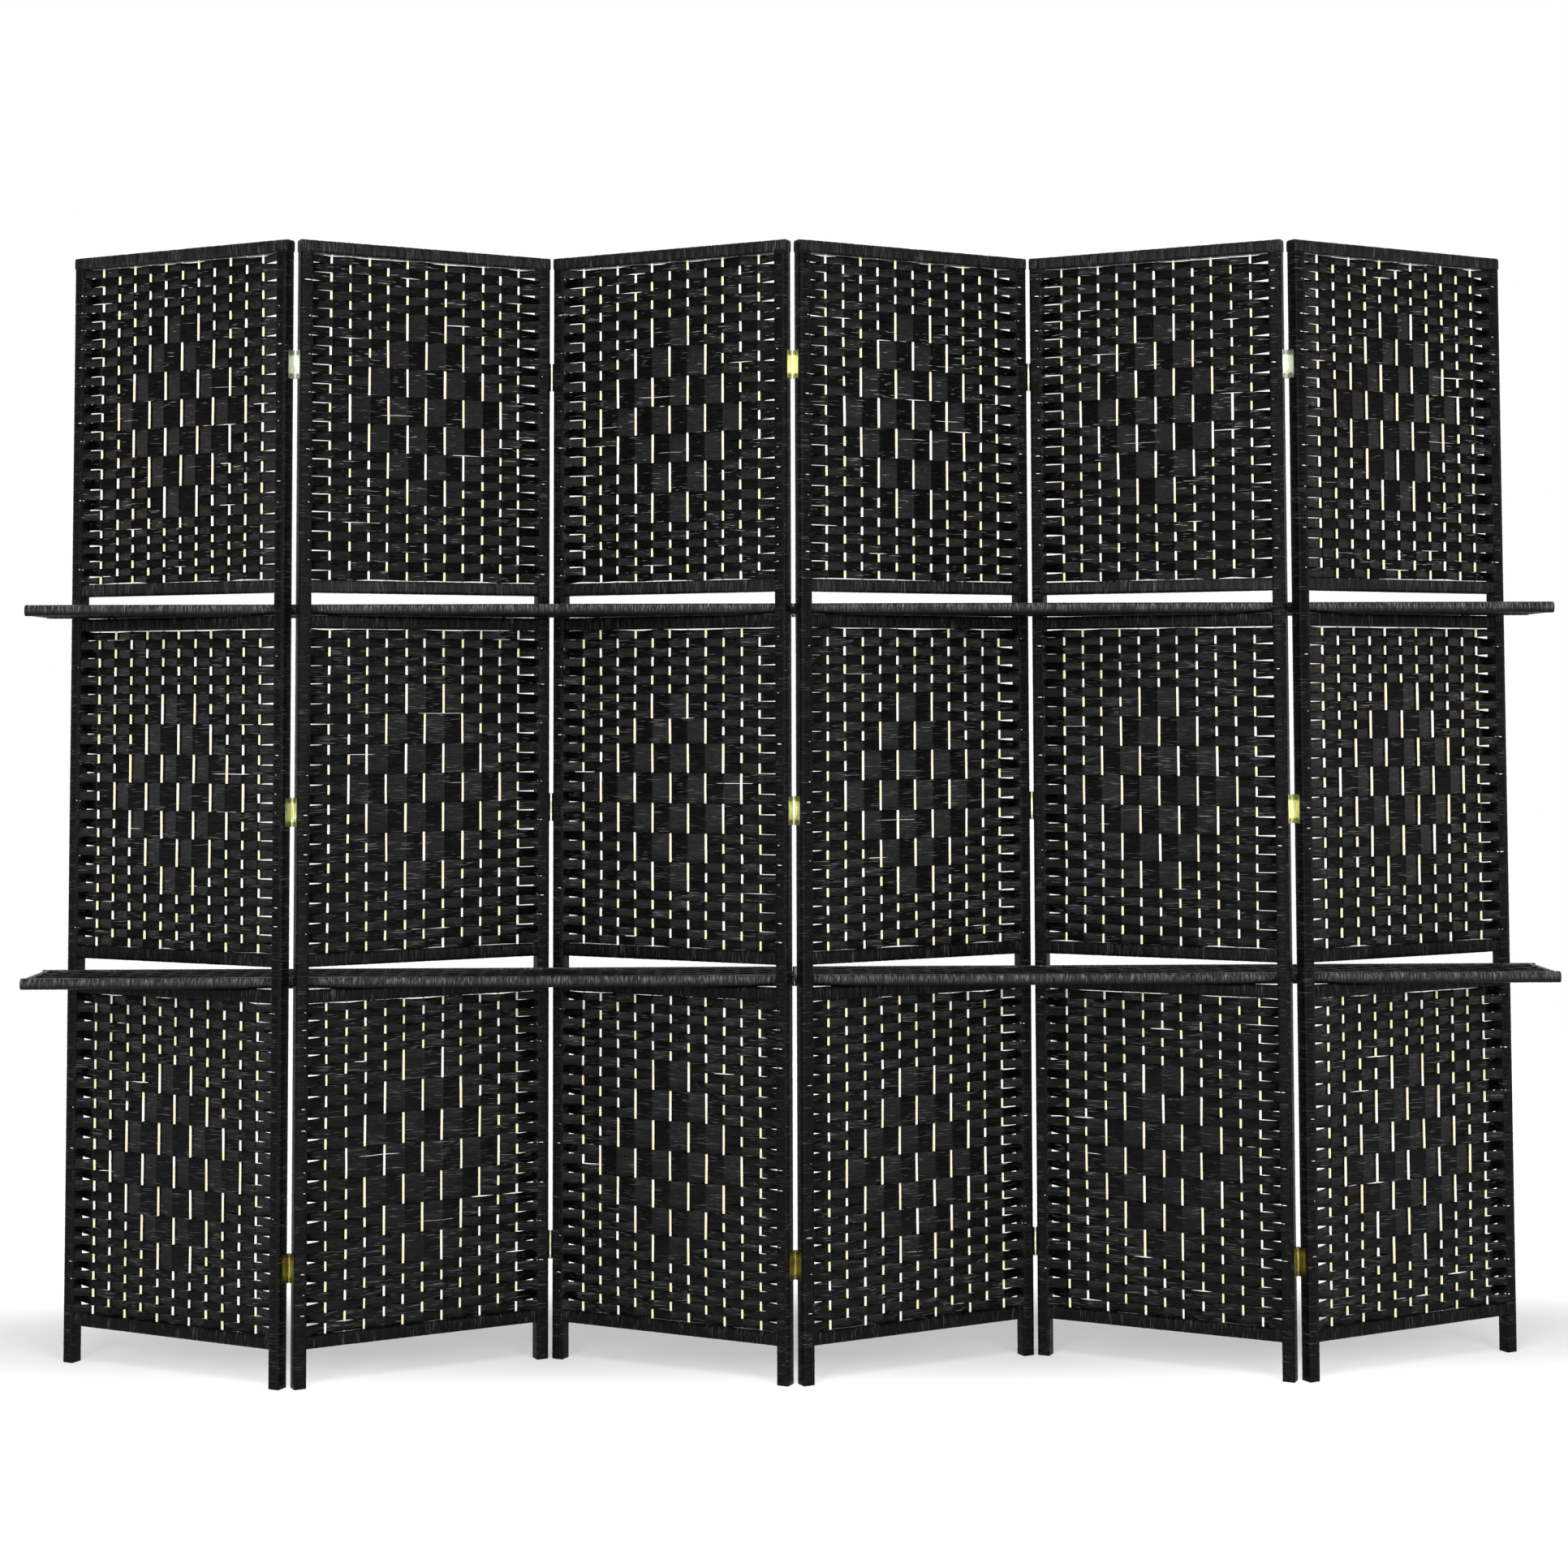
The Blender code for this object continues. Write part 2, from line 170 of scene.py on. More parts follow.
class ShaderBench:
    """Adds nodes to one material or world and links them."""

    def __init__(self, tree: bpy.types.NodeTree) -> None:
        """Start with an empty node tree."""
        self.tree = tree
        tree.nodes.clear()

    def node(
        self, kind: str, settings: dict[str, Any] | None = None,
        inputs: dict[Any, Any] | None = None, output: Any = 0,
    ) -> Signal:
        """Add a node, set it, then feed its sockets.

        Args:
            kind: The node's type name.
            settings: The node's own properties.
            inputs: Values or signals by socket name or index.
            output: The output wanted, by name or index.

        Returns:
            That output.
        """
        made = self.tree.nodes.new(kind)
        for name, value in (settings or {}).items():
            setattr(made, name, value)
        for name, value in (inputs or {}).items():
            if isinstance(value, Signal):
                self.tree.links.new(value.socket, made.inputs[name])
            else:
                made.inputs[name].default_value = value
        return Signal(self, made.outputs[output])

    def fibre(self) -> Signal:
        """Return the rope's own coordinates."""
        settings = {"attribute_name": FIBRE, "attribute_type": "GEOMETRY"}
        return self.node("ShaderNodeAttribute", settings, output="Vector")

    def coordinates(self, kind: str) -> Signal:
        """Return the point's coordinates of one kind."""
        return self.node("ShaderNodeTexCoord", output=kind)

    def noise(self, where: Signal, scale: Sequence[float], detail: float = 2.0) -> Signal:
        """Add smooth noise.

        Args:
            where: The coordinates.
            scale: How many cells there are to a metre, on each coordinate.
            detail: The noise's octaves.

        Returns:
            A value round 0.5.
        """
        return self.node(
            "ShaderNodeTexNoise", {"noise_dimensions": "3D"},
            {
                "Vector": where.vector("MULTIPLY", scale), "Scale": 1.0, "Detail": detail,
                "Roughness": 0.6,
            },
        )

    def blend(self, share: Signal, first: Any, second: Any) -> Signal:
        """Mix two colours.

        Args:
            share: How much of the second there is.
            first: A colour or a signal.
            second: A colour or a signal.

        Returns:
            The mixed colour.
        """
        first, second = (
            colour if isinstance(colour, Signal) else (*colour, 1.0) for colour in (first, second)
        )
        return self.node(
            "ShaderNodeMix", {"data_type": "RGBA"}, {0: share, 6: first, 7: second}, output=2
        )

    def bump(self, height: Signal, strength: float, distance: float) -> Signal:
        """Turn a height into a normal.

        Args:
            height: The height.
            strength: How strongly it counts.
            distance: The relief's depth in metres.

        Returns:
            The normal.
        """
        return self.node(
            "ShaderNodeBump", None, {"Height": height, "Strength": strength, "Distance": distance}
        )

    def surface(self, shader: Signal, output: str = "ShaderNodeOutputMaterial") -> None:
        """Send a shader to the tree's output."""
        out = self.tree.nodes.new(output)
        self.tree.links.new(shader.socket, out.inputs["Surface"])

    def principled(self, inputs: dict[str, Any]) -> None:
        """Make the surface from one Principled shader."""
        self.surface(self.node("ShaderNodeBsdfPrincipled", None, inputs))


def new_bench(name: str) -> tuple[bpy.types.Material, ShaderBench]:
    """Make an empty material.

    Args:
        name: Its name.

    Returns:
        The material and its bench.
    """
    material = bpy.data.materials.new(name)
    material.use_nodes = True
    return material, ShaderBench(material.node_tree)


@dataclass(frozen=True)
class PaperRope:
    """Flat-twisted paper rope: near black, with pale streaks along its length, partly paler fibres
    and partly painted glints.
    """

    name: str
    shadow: Colour
    body: Colour
    streak: Colour
    relief: float
    along_scale: float = 46.0  # cells of fibre to a metre
    across_scale: float = 620.0
    roughness: float = 0.36
    gloss: float = 0.06
    pale_fibres_and_glints: tuple[float, float] = (0.55, 0.72)  # the noise range over which the rope turns pale: paler fibres and painted glints
    patches: tuple[float, float] = (0.38, 0.66)  # and over which the rope has such fibres
    painted_shade_below: bool = False  # darker on the faces that look down: painted shade

    @cache
    def material(self) -> bpy.types.Material:
        """Build the rope's material from its fibre coordinates.

        Returns:
            The material, the same one each time.
        """
        material, bench = new_bench(self.name)
        fibre, along, across = bench.fibre(), self.along_scale, self.across_scale
        strands = bench.noise(fibre, scale=(along, across, 7.0), detail=3.0)
        creases = bench.noise(fibre, scale=(along * 1.8, across * 0.4, 3.0), detail=2.0)
        patches = bench.noise(fibre, scale=(16.0, 45.0, 5.0), detail=1.0)
        pale_fibres_and_glints = bench.noise(fibre, scale=(along * 0.9, across * 1.3, 11.0), detail=1.0)
        mixed = bench.blend(strands.between(0.32, 0.70), self.shadow, self.body)
        # Pale streaks: partly paler fibres, partly painted glints where the fibres would catch the
        # light
        paler = pale_fibres_and_glints.between(*self.pale_fibres_and_glints) * patches.between(*self.patches)
        colour = bench.blend(paler, mixed, self.streak)
        # Painted shade: where the surface faces down, the colour falls to the shadow colour
        if self.painted_shade_below:
            upward = bench.node("ShaderNodeNewGeometry", output="Normal").part("Z")
            colour = bench.blend(upward.between(-0.8, 0.65), self.shadow, colour)
        height = strands * 0.7 + creases * 0.9
        bench.principled({
            "Base Color": colour,
            "Roughness": creases * 0.2 + (self.roughness - 0.1),
            "Specular IOR Level": self.gloss,
            "Normal": bench.bump(height, 0.9, self.relief),
        })
        return material


@dataclass(frozen=True)
class PeeledStick:
    """Pale peeled stick with a fine grain, some sticks yellower or pinker than others."""

    name: str
    pale: Colour
    warm: Colour
    pink: Colour
    grain_shade: float = 0.84

    @cache
    def material(self) -> bpy.types.Material:
        """Build the stick's material from its fibre coordinates.

        Returns:
            The material, the same one each time.
        """
        material, bench = new_bench(self.name)
        fibre = bench.fibre()
        tint = bench.noise(fibre, scale=(18.0, 0.0, 9.7), detail=1.0)
        grain = bench.noise(fibre, scale=(40.0, 1500.0, 4.0), detail=2.0)
        base = bench.blend(tint.between(0.40, 0.54), self.pale, self.warm)
        base = bench.blend(tint.between(0.64, 0.70) * 0.7, base, self.pink)
        dull = tuple(self.grain_shade * part for part in self.warm)
        bench.principled({
            "Base Color": bench.blend(grain.between(0.52, 0.8) * 0.5, base, dull),
            "Roughness": grain * 0.2 + 0.45,
            "Normal": bench.bump(grain, 0.4, 0.3 * MM),
        })
        return material


@dataclass(frozen=True)
class HingeBrass:
    """Brass-plated sheet, brushed upright, with cloudy tarnish."""

    name: str
    bright: Colour
    dull: Colour
    roughness: float = 0.24
    end_shade: float = 0.6  # how much darker the leaf is round its screws

    @cache
    def material(self) -> bpy.types.Material:
        """Build the brass from the point's place.

        Returns:
            The material, the same one each time.
        """
        material, bench = new_bench(self.name)
        place = bench.coordinates("Object")
        brushed = bench.noise(place, scale=(2600.0, 2600.0, 35.0), detail=2.0)
        cloud = bench.noise(place, scale=(130.0, 130.0, 60.0), detail=2.0)
        bands = bench.noise(place, scale=(420.0, 420.0, 14.0), detail=1.0)
        from_middle = abs(bench.coordinates("Generated").part("Z") - 0.5)
        tarnish = cloud.between(0.42, 0.66) * 0.5 + bands.between(0.35, 0.65) * 0.5
        darker_round_screws = tuple(self.end_shade * part for part in self.dull)
        colour = bench.blend(tarnish, self.bright, self.dull)
        bench.principled({
            "Base Color": bench.blend(from_middle.between(0.27, 0.40) * 0.7, colour, darker_round_screws),
            "Metallic": 1.0,
            "Roughness": brushed * 0.22 + cloud * 0.16 + (self.roughness - 0.12),
            "Normal": bench.bump(brushed, 0.25, 0.08 * MM),
        })
        return material


def grey(value: float, blue: float) -> Colour:
    """Return a neutral colour with a trace of blue."""
    return value, value, blue


WOUND = PaperRope(
    "wound_rope", grey(0.0008, 0.001), grey(0.0042, 0.0045), grey(0.055, 0.057), 0.7 * MM,
    roughness=0.38, gloss=0.06, pale_fibres_and_glints=(0.56, 0.70),
)
# A paler copy of the wound rope for the top rail and the rail under the upper weave: its paler
# body is painted light for the light that falls more on those rails
RAIL = PaperRope(
    "rail_rope", grey(0.002, 0.0022), grey(0.009, 0.0094), grey(0.06, 0.062), 0.6 * MM,
    roughness=0.38, gloss=0.11, pale_fibres_and_glints=(0.52, 0.68),
)
WOVEN = PaperRope(
    "woven_rope", grey(0.0006, 0.0008), grey(0.0048, 0.0051), grey(0.10, 0.102), 0.75 * MM,
    roughness=0.28, gloss=0.08, pale_fibres_and_glints=(0.60, 0.70),
)
# The upper sections' rope: its many pale hairlines are painted glints, for light catching the
# rope's folded edges
WOVEN_GLINTS = PaperRope(
    "woven_rope_painted_glints", grey(0.0006, 0.0008), grey(0.0046, 0.0049), grey(0.26, 0.265),
    0.75 * MM, roughness=0.28, gloss=0.078, pale_fibres_and_glints=(0.66, 0.72), patches=(0.40, 0.66),
)
# Paler than the woven rope: the rim's body and fibres carry a painted highlight for the light its
# rounded top catches from above, and painted shade darkens it below
RIM = PaperRope(
    "shelf_rope", grey(0.0025, 0.0027), grey(0.034, 0.0348), grey(0.17, 0.173), 0.5 * MM,
    along_scale=80.0, across_scale=750.0, roughness=0.38, gloss=0.10, pale_fibres_and_glints=(0.50, 0.68),
    patches=(0.2, 0.5), painted_shade_below=True,
)
BOARD_WEAVE = PaperRope(
    "shelf_weave", grey(0.004, 0.0043), grey(0.020, 0.0205), grey(0.085, 0.087), 0.5 * MM,
    roughness=0.7, gloss=0.03, painted_shade_below=True,
)
STICK = PeeledStick("peeled_stick", (0.97, 0.95, 0.86), (0.95, 0.85, 0.56), (0.92, 0.76, 0.62))
CORE = PeeledStick("bare_core", (0.82, 0.80, 0.75), (0.76, 0.70, 0.60), (0.62, 0.46, 0.36))
SCREW = HingeBrass("hinge_screw", (0.56, 0.54, 0.34), (0.12, 0.11, 0.06))


class BrassTone(Enum):
    """How light one hinge's brass is drawn: lit and shaded copies of one brass, painted light and
    shade for the light that each hinge catches and mirrors.
    """

    PALE = HingeBrass("hinge_brass_pale", (0.86, 0.90, 0.82), (0.56, 0.60, 0.50))
    STRAW = HingeBrass("hinge_brass_straw", (0.76, 0.78, 0.54), (0.38, 0.38, 0.21))
    BRIGHT = HingeBrass("hinge_brass_bright", (0.90, 0.90, 0.58), (0.55, 0.54, 0.29))
    OLIVE = HingeBrass("hinge_brass_olive", (0.46, 0.42, 0.14), (0.22, 0.18, 0.07))


def show(name: str, mesh: bpy.types.Mesh, material: bpy.types.Material) -> bpy.types.Object:
    """Put a mesh in the scene.

    Args:
        name: The object's name.
        mesh: Its shape.
        material: Its only material.

    Returns:
        The object.
    """
    mesh.materials.append(material)
    made = bpy.data.objects.new(name, mesh)
    bpy.context.scene.collection.objects.link(made)
    return made


def settle(piece: bpy.types.Object, body: str, node: str | None = None) -> None:
    """Say what a piece rides on and what it stands for.

    Args:
        piece: The piece.
        body: The body that carries it.
        node: The solid that it replaces, if any.
    """
    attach(piece, body)
    if node:
        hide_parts(node)
    log.info("%s: %d faces", piece.name, len(piece.data.polygons))


class RopeMesh:
    """Collects tubes of points, and makes one mesh with the rope's coordinates on each point."""

    sharp_from: float = math.radians(62)  # an edge that turns further than this stays sharp

    def __init__(self) -> None:
        """Start with nothing."""
        self.points: list[np.ndarray] = []
        self.fibres: list[np.ndarray] = []
        self.corners: list[np.ndarray] = []
        self.sizes: list[np.ndarray] = []
        self.count = 0

    def add_tube(self, rings: np.ndarray, fibres: np.ndarray) -> None:
        """Add a tube with closed ends.

        Args:
            rings: Points by ring, round it, and coordinate. Seen along the tube from its
                start, they go round clockwise.
            fibres: The rope's coordinates, in the same shape.
        """
        ring_count, around = rings.shape[:2]
        grid = self.count + np.arange(ring_count * around).reshape(ring_count, around)
        here, onward = grid[:-1], grid[1:]
        quads = np.stack(
            [here, np.roll(here, -1, axis=1), np.roll(onward, -1, axis=1), onward], axis=-1
        ).reshape(-1)
        self.corners += [quads, grid[0][::-1].copy(), grid[-1].copy()]
        self.sizes += [np.full(len(quads) // 4, 4), np.array([around, around])]
        self.points.append(rings.reshape(-1, 3))
        self.fibres.append(fibres.reshape(-1, 3))
        self.count += ring_count * around

    def add_lines(self, lines: list[np.ndarray], fibres: list[np.ndarray]) -> None:
        """Add a tube by the lines that run along it, with the rope's coordinates on them."""
        self.add_tube(np.array(lines).transpose(1, 0, 2), np.array(fibres).transpose(1, 0, 2))

    def piece(self, name: str, finish: PaperRope | PeeledStick) -> bpy.types.Object:
        """Make the object.

        Args:
            name: The piece's name.
            finish: What it is made of.

        Returns:
            The object, in the scene's collection.
        """
        mesh = bpy.data.meshes.new(name)
        points = np.concatenate(self.points)
        corners = np.concatenate(self.corners)
        sizes = np.concatenate(self.sizes)
        mesh.vertices.add(len(points))
        mesh.vertices.foreach_set("co", points.astype(np.float32).ravel())
        mesh.loops.add(len(corners))
        mesh.loops.foreach_set("vertex_index", corners.astype(np.int32))
        mesh.polygons.add(len(sizes))
        starts = np.concatenate([[0], np.cumsum(sizes)[:-1]])
        mesh.polygons.foreach_set("loop_start", starts.astype(np.int32))
        mesh.update(calc_edges=True)
        mesh.validate()
        fibre = mesh.attributes.new(FIBRE, "FLOAT_VECTOR", "POINT")
        fibre.data.foreach_set("vector", np.concatenate(self.fibres).astype(np.float32).ravel())
        mesh.shade_smooth()
        mesh.set_sharp_from_angle(angle=self.sharp_from)
        return show(name, mesh, finish.material())


class Wander:
    """Smooth seeded wandering, so that nothing lies dead straight."""

    def __init__(self, seed: int) -> None:
        """Seed the wandering."""
        self.random = np.random.default_rng(seed)

    def line(self, where: np.ndarray, step: float, size: float) -> np.ndarray:
        """Wander along a line.

        Args:
            where: Places along it, in metres.
            step: The length over which it changes.
            size: How far it strays.

        Returns:
            The offset at each place.
        """
        low, high = float(where.min()), float(where.max())
        count = max(4, int((high - low) / step) + 3)
        knots = np.linspace(low - step, high + step, count)
        values = self.random.uniform(-size, size, count)
        share = np.interp(where, knots, np.arange(count))
        index = np.clip(share.astype(int), 0, count - 2)
        part = share - index
        part = part * part * (3 - 2 * part)
        return values[index] * (1 - part) + values[index + 1] * part

    def chance(self, share: float) -> bool:
        """Return True in that share of the calls."""
        return bool(self.random.random() < share)

    def amount(self, low: float, high: float) -> float:
        """Return a number between two others."""
        return float(self.random.uniform(low, high))


@dataclass(frozen=True)
class BarSection:
    """The rounded rectangular cross-section of a bar, and the points round it."""

    width: float
    depth: float
    rounding: float
    corner_steps: int = 3
    face_steps: int = 3

    def outline(self) -> tuple[np.ndarray, np.ndarray, np.ndarray]:
        """Walk round the section anticlockwise, starting at its lower right corner.

        Returns:
            The points, their outward normals, and the distance walked.
        """
        inner = np.array([self.width / 2, self.depth / 2]) - self.rounding
        signs = np.array([(1, -1), (1, 1), (-1, 1), (-1, -1)])
        points, normals = [], []
        for quarter in range(4):
            start = math.radians(90 * quarter) - math.pi / 2
            for step in range(self.corner_steps + 1):
                angle = start + math.pi / 2 * step / self.corner_steps
                normal = np.array([math.cos(angle), math.sin(angle)])
                points.append(signs[quarter] * inner + self.rounding * normal)
                normals.append(normal)
            last, target = points[-1], signs[(quarter + 1) % 4] * inner + self.rounding * normal
            for step in range(1, self.face_steps + 1):
                points.append(last + (target - last) * step / (self.face_steps + 1))
                normals.append(normal)
        ring = np.array(points)
        walked = np.concatenate([[0.0], np.cumsum(np.linalg.norm(np.diff(ring, axis=0), axis=1))])
        return ring, np.array(normals), walked


@dataclass
class WoundBar:
    """A bar with flat rope wound round it, turn by turn.

    A turn is a low pillow between two grooves. Where a groove is open, the rope's surface
    dips under the bar's bare core.
    """

    section: BarSection
    axis: Axis
    middle: tuple[float, float]
    bounds: np.ndarray
    pillow: float = 0.35 * MM  # how deep the grooves are
    unevenness: float = 0.25 * MM  # how far they stray from level
    seed: int = 0
    openings: dict[int, Opening] = field(default_factory=dict)  # by the bound that opens
    groove: float = 0.12 * MM  # a groove's width where it isn't open
    open_from: float = 0.25 * MM  # the width from which one shows the core
    bare_depth: float = 1.8 * MM  # how deep it is there
    lift_spread: float = 0.35  # how unevenly the turns lie, in depths of a groove
    most_lift: float = 1 * MM
    shoulder: float = 1.6 * MM  # how wide a turn's rounded edge is
    shoulder_share: float = 0.25  # and the most of a low turn's height that it takes
    turn_step: float = 0.37  # how far the fibres' pattern moves on from turn to turn
    bar_step: float = 3.1  # and from one bar's seed to the next
    patterns: int = 97  # how many starts of the pattern there are

    def add_to(self, rope: RopeMesh) -> None:
        """Add the wound rope.

        Args:
            rope: The mesh that it goes to.
        """
        wander = Wander(self.seed)
        ring, normals, walked = self.section.outline()
        around = len(ring)
        thirds = np.linspace(0, around, 4)
        rings, fibres = [], []
        last = len(self.bounds) - 1
        for index, bound in enumerate(self.bounds):
            swing = wander.random.normal(0, 1, around)[:3]
            sway = self.unevenness * np.interp(np.arange(around), thirds, [*swing, swing[0]])
            sway = sway * (0 < index < last)
            gap = self.openings[index](ring) if index in self.openings else np.zeros(around)
            opening = np.maximum(self.groove, gap)
            dip = np.where(gap > self.open_from, self.bare_depth, self.pillow)
            lifts = np.clip(
                wander.random.normal(0, self.lift_spread, 2) * self.pillow, 0, self.most_lift
            )
            shoulder = min(self.shoulder, self.shoulder_share * self._turn_height(index))
            below, above = bound + sway - opening / 2, bound + sway + opening / 2
            levels = (
                (below - shoulder, lifts[0], index - 1), (below, dip, index - 1),
                (above, dip, index), (above + shoulder, lifts[1], index),
            )
            first, end = (2 if index == 0 else 0), (2 if index == last else 4)
            for level, inset, turn in levels[first:end]:
                flat = ring - normals * np.broadcast_to(inset, around)[:, None] + self.middle
                rings.append(np.insert(flat, self.axis.value, level, axis=1))
                pattern = self.turn_step * turn + self.bar_step * (self.seed % self.patterns)
                fibres.append(np.column_stack([walked, level, np.full(around, pattern)]))
        rings, fibres = np.array(rings), np.array(fibres)
        if self.axis is not Axis.ALONG_DEPTH:
            rings, fibres = rings[:, ::-1], fibres[:, ::-1]
        rope.add_tube(rings, fibres)

    def _turn_height(self, index: int) -> float:
        """Find the height of the lower turn next to a bound.

        Args:
            index: The bound.

        Returns:
            The height.
        """
        low = max(0, min(index, len(self.bounds) - 2))
        heights = np.diff(self.bounds)
        return float(min(heights[max(0, low - 1)], heights[low]))


def even_bounds(
    low: float, high: float, pitch: float, wander: Wander | None = None, shift: float = 0.12
) -> np.ndarray:
    """Divide a length into turns of about one pitch.

    Args:
        low: Where the first turn starts.
        high: Where the last turn ends.
        pitch: The height of a turn.
        wander: Shifts the bounds a little, if given.
        shift: How far it may shift one, as a share of a turn.

    Returns:
        The turns' bounds.
    """
    count = max(1, round((high - low) / pitch))
    bounds = np.linspace(low, high, count + 1)
    if wander is not None and count > 1:
        bounds[1:-1] += wander.random.uniform(-shift, shift, count - 1) * (high - low) / count
    return bounds


@dataclass(frozen=True)
class PanelWeave:
    """How one panel's section is woven by hand: its rows, its pattern's start, its slits."""

    rows: int
    first_row_bares_odd_sticks: bool
    diamond_start: int
    left_slit: float  # in millimetres, like the numbers after it
    right_slit: float
    shifts: tuple[float, ...]  # how far the rows lie above even spacing, from the top down


@dataclass(frozen=True)
class SectionPlan:
    """A woven section: where it lies, and how each panel is woven there."""

    level: Level
    floor: float
    top: float
    weaves: tuple[PanelWeave, ...]

    def row_bounds(self, panel: int) -> np.ndarray:
        """Place the bounds between a panel's rows.

        Args:
            panel: The panel's number.

        Returns:
            The bounds' heights, from the section's top down to its floor.
        """
        weave = self.weaves[panel - 1]
        share = np.arange(weave.rows + 1) / weave.rows
        knots = np.linspace(0, 1, len(weave.shifts) + 2)
        shift = np.interp(share, knots, [0.0, *weave.shifts, 0.0]) * MM
        return self.top - share * (self.top - self.floor) + shift


@dataclass(frozen=True)
class ScreenSizes:
    """The sizes that the solids are made to."""

    height: float = 1700 * MM
    panel_width: float = 402 * MM
    stile_width: float = 19 * MM
    stile_depth: float = 21 * MM
    rail_height: float = 19.5 * MM
    rail_depth: float = 18 * MM
    foot_height: float = 56 * MM
    stick_count: int = 11
    stick_width: float = 3.6 * MM
    stick_depth: float = 3.8 * MM

    def stick_pitch(self) -> float:
        """Return the distance between sticks."""
        return (self.panel_width - 2 * self.stile_width) / (self.stick_count + 1)


SIZES = ScreenSizes()
SECTIONS = (
    SectionPlan(Level.LOWER, 75.5 * MM, 560.5 * MM, (
        PanelWeave(34, False, 8, 1.0, 2.2, (0.1, -3.7, -15.1, -8.9)),
        PanelWeave(33, True, 7, 0.6, 2.2, (12.5, 5.0, 2.0, 2.4)),
        PanelWeave(34, False, 8, 0.3, 1.4, (2.4, -3.4, -6.9, -1.6)),
        PanelWeave(35, True, 9, 0.4, 3.6, (2.7, -1.4, -3.0, 2.9)),
        PanelWeave(35, True, 9, 0.35, 2.5, (2.6, -1.4, 1.4, 3.5)),
        PanelWeave(34, False, 8, 1.2, 2.0, (6.2, -8.8, -11.5, -6.2)),
    )),
    SectionPlan(Level.MIDDLE, 633.5 * MM, 1116 * MM, (
        PanelWeave(34, False, 8, 1.6, 3.6, (2.6, -4.9, -4.2, -3.4)),
        PanelWeave(33, True, 7, 1.5, 3.0, (5.5, 1.4, 0.2, 1.2)),
        PanelWeave(34, False, 8, 0.9, 2.2, (0.9, 11.2, 3.1, -0.4)),
        PanelWeave(34, False, 8, 1.0, 4.2, (2.0, -1.1, -7.5, -6.4)),
        PanelWeave(34, False, 8, 1.0, 3.2, (9.3, 3.6, -2.7, 0.1)),
        PanelWeave(33, True, 7, 2.0, 4.0, (3.2, 6.9, 6.0, 1.0)),
    )),
    SectionPlan(Level.UPPER, 1189 * MM, 1680.5 * MM, (
        PanelWeave(35, True, 7, 4.0, 1.5, (3.8, 0.0, -1.8, -14.6)),
        PanelWeave(35, True, 7, 3.0, 1.2, (3.0, 0.7, -1.3, 4.2)),
        PanelWeave(34, True, 7, 3.6, 1.2, (1.8, -5.1, -4.7, -11.4)),
        PanelWeave(34, True, 7, 2.6, 1.15, (6.9, 4.6, -0.9, -6.5)),
        PanelWeave(35, True, 7, 4.0, 1.7, (2.5, 1.7, 2.1, 4.7)),
        PanelWeave(34, True, 7, 2.6, 1.25, (8.3, 13.7, 12.7, 4.3)),
    )),
)


@dataclass(frozen=True)
class HingeSizes:
    """Where the solids hold the hinge leaves."""

    leaf_face: float = 1.1 * MM  # from a stile's edge to the leaf's outer face
    leaf_width: float = 14.5 * MM
    levels: dict[Level, float] = field(default_factory=lambda: {
        Level.UPPER: 1512 * MM, Level.MIDDLE: 842.5 * MM, Level.LOWER: 173 * MM,
    })


HINGE = HingeSizes()
# Painted light and shade: on the near seams the upper hinges are paler or brighter and the lower
# ones olive, by the light that each catches
HINGE_TONES = {
    (1, Level.UPPER): BrassTone.PALE, (1, Level.LOWER): BrassTone.OLIVE,
    (3, Level.UPPER): BrassTone.BRIGHT, (3, Level.LOWER): BrassTone.OLIVE,
    (5, Level.UPPER): BrassTone.PALE, (5, Level.MIDDLE): BrassTone.BRIGHT,
    (5, Level.LOWER): BrassTone.OLIVE,
}  # all the others are straw-coloured


def panel_place(number: int) -> Matrix:
    """Find a panel's own frame: its corner at the left edge and front face, turned.

    Args:
        number: The panel's number.

    Returns:
        The frame's place in the scene.
    """
    low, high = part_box(f"panel_{number}_frame")
    centre = (low + high) / 2
    turn = Matrix.Rotation(-REST_TURN if number % 2 == 1 else REST_TURN, 4, "Z")
    middle = Vector((SIZES.panel_width / 2, SIZES.stile_depth / 2, 0))
    corner = Vector((centre.x, centre.y, 0)) - turn @ middle
    return Matrix.Translation(corner) @ turn


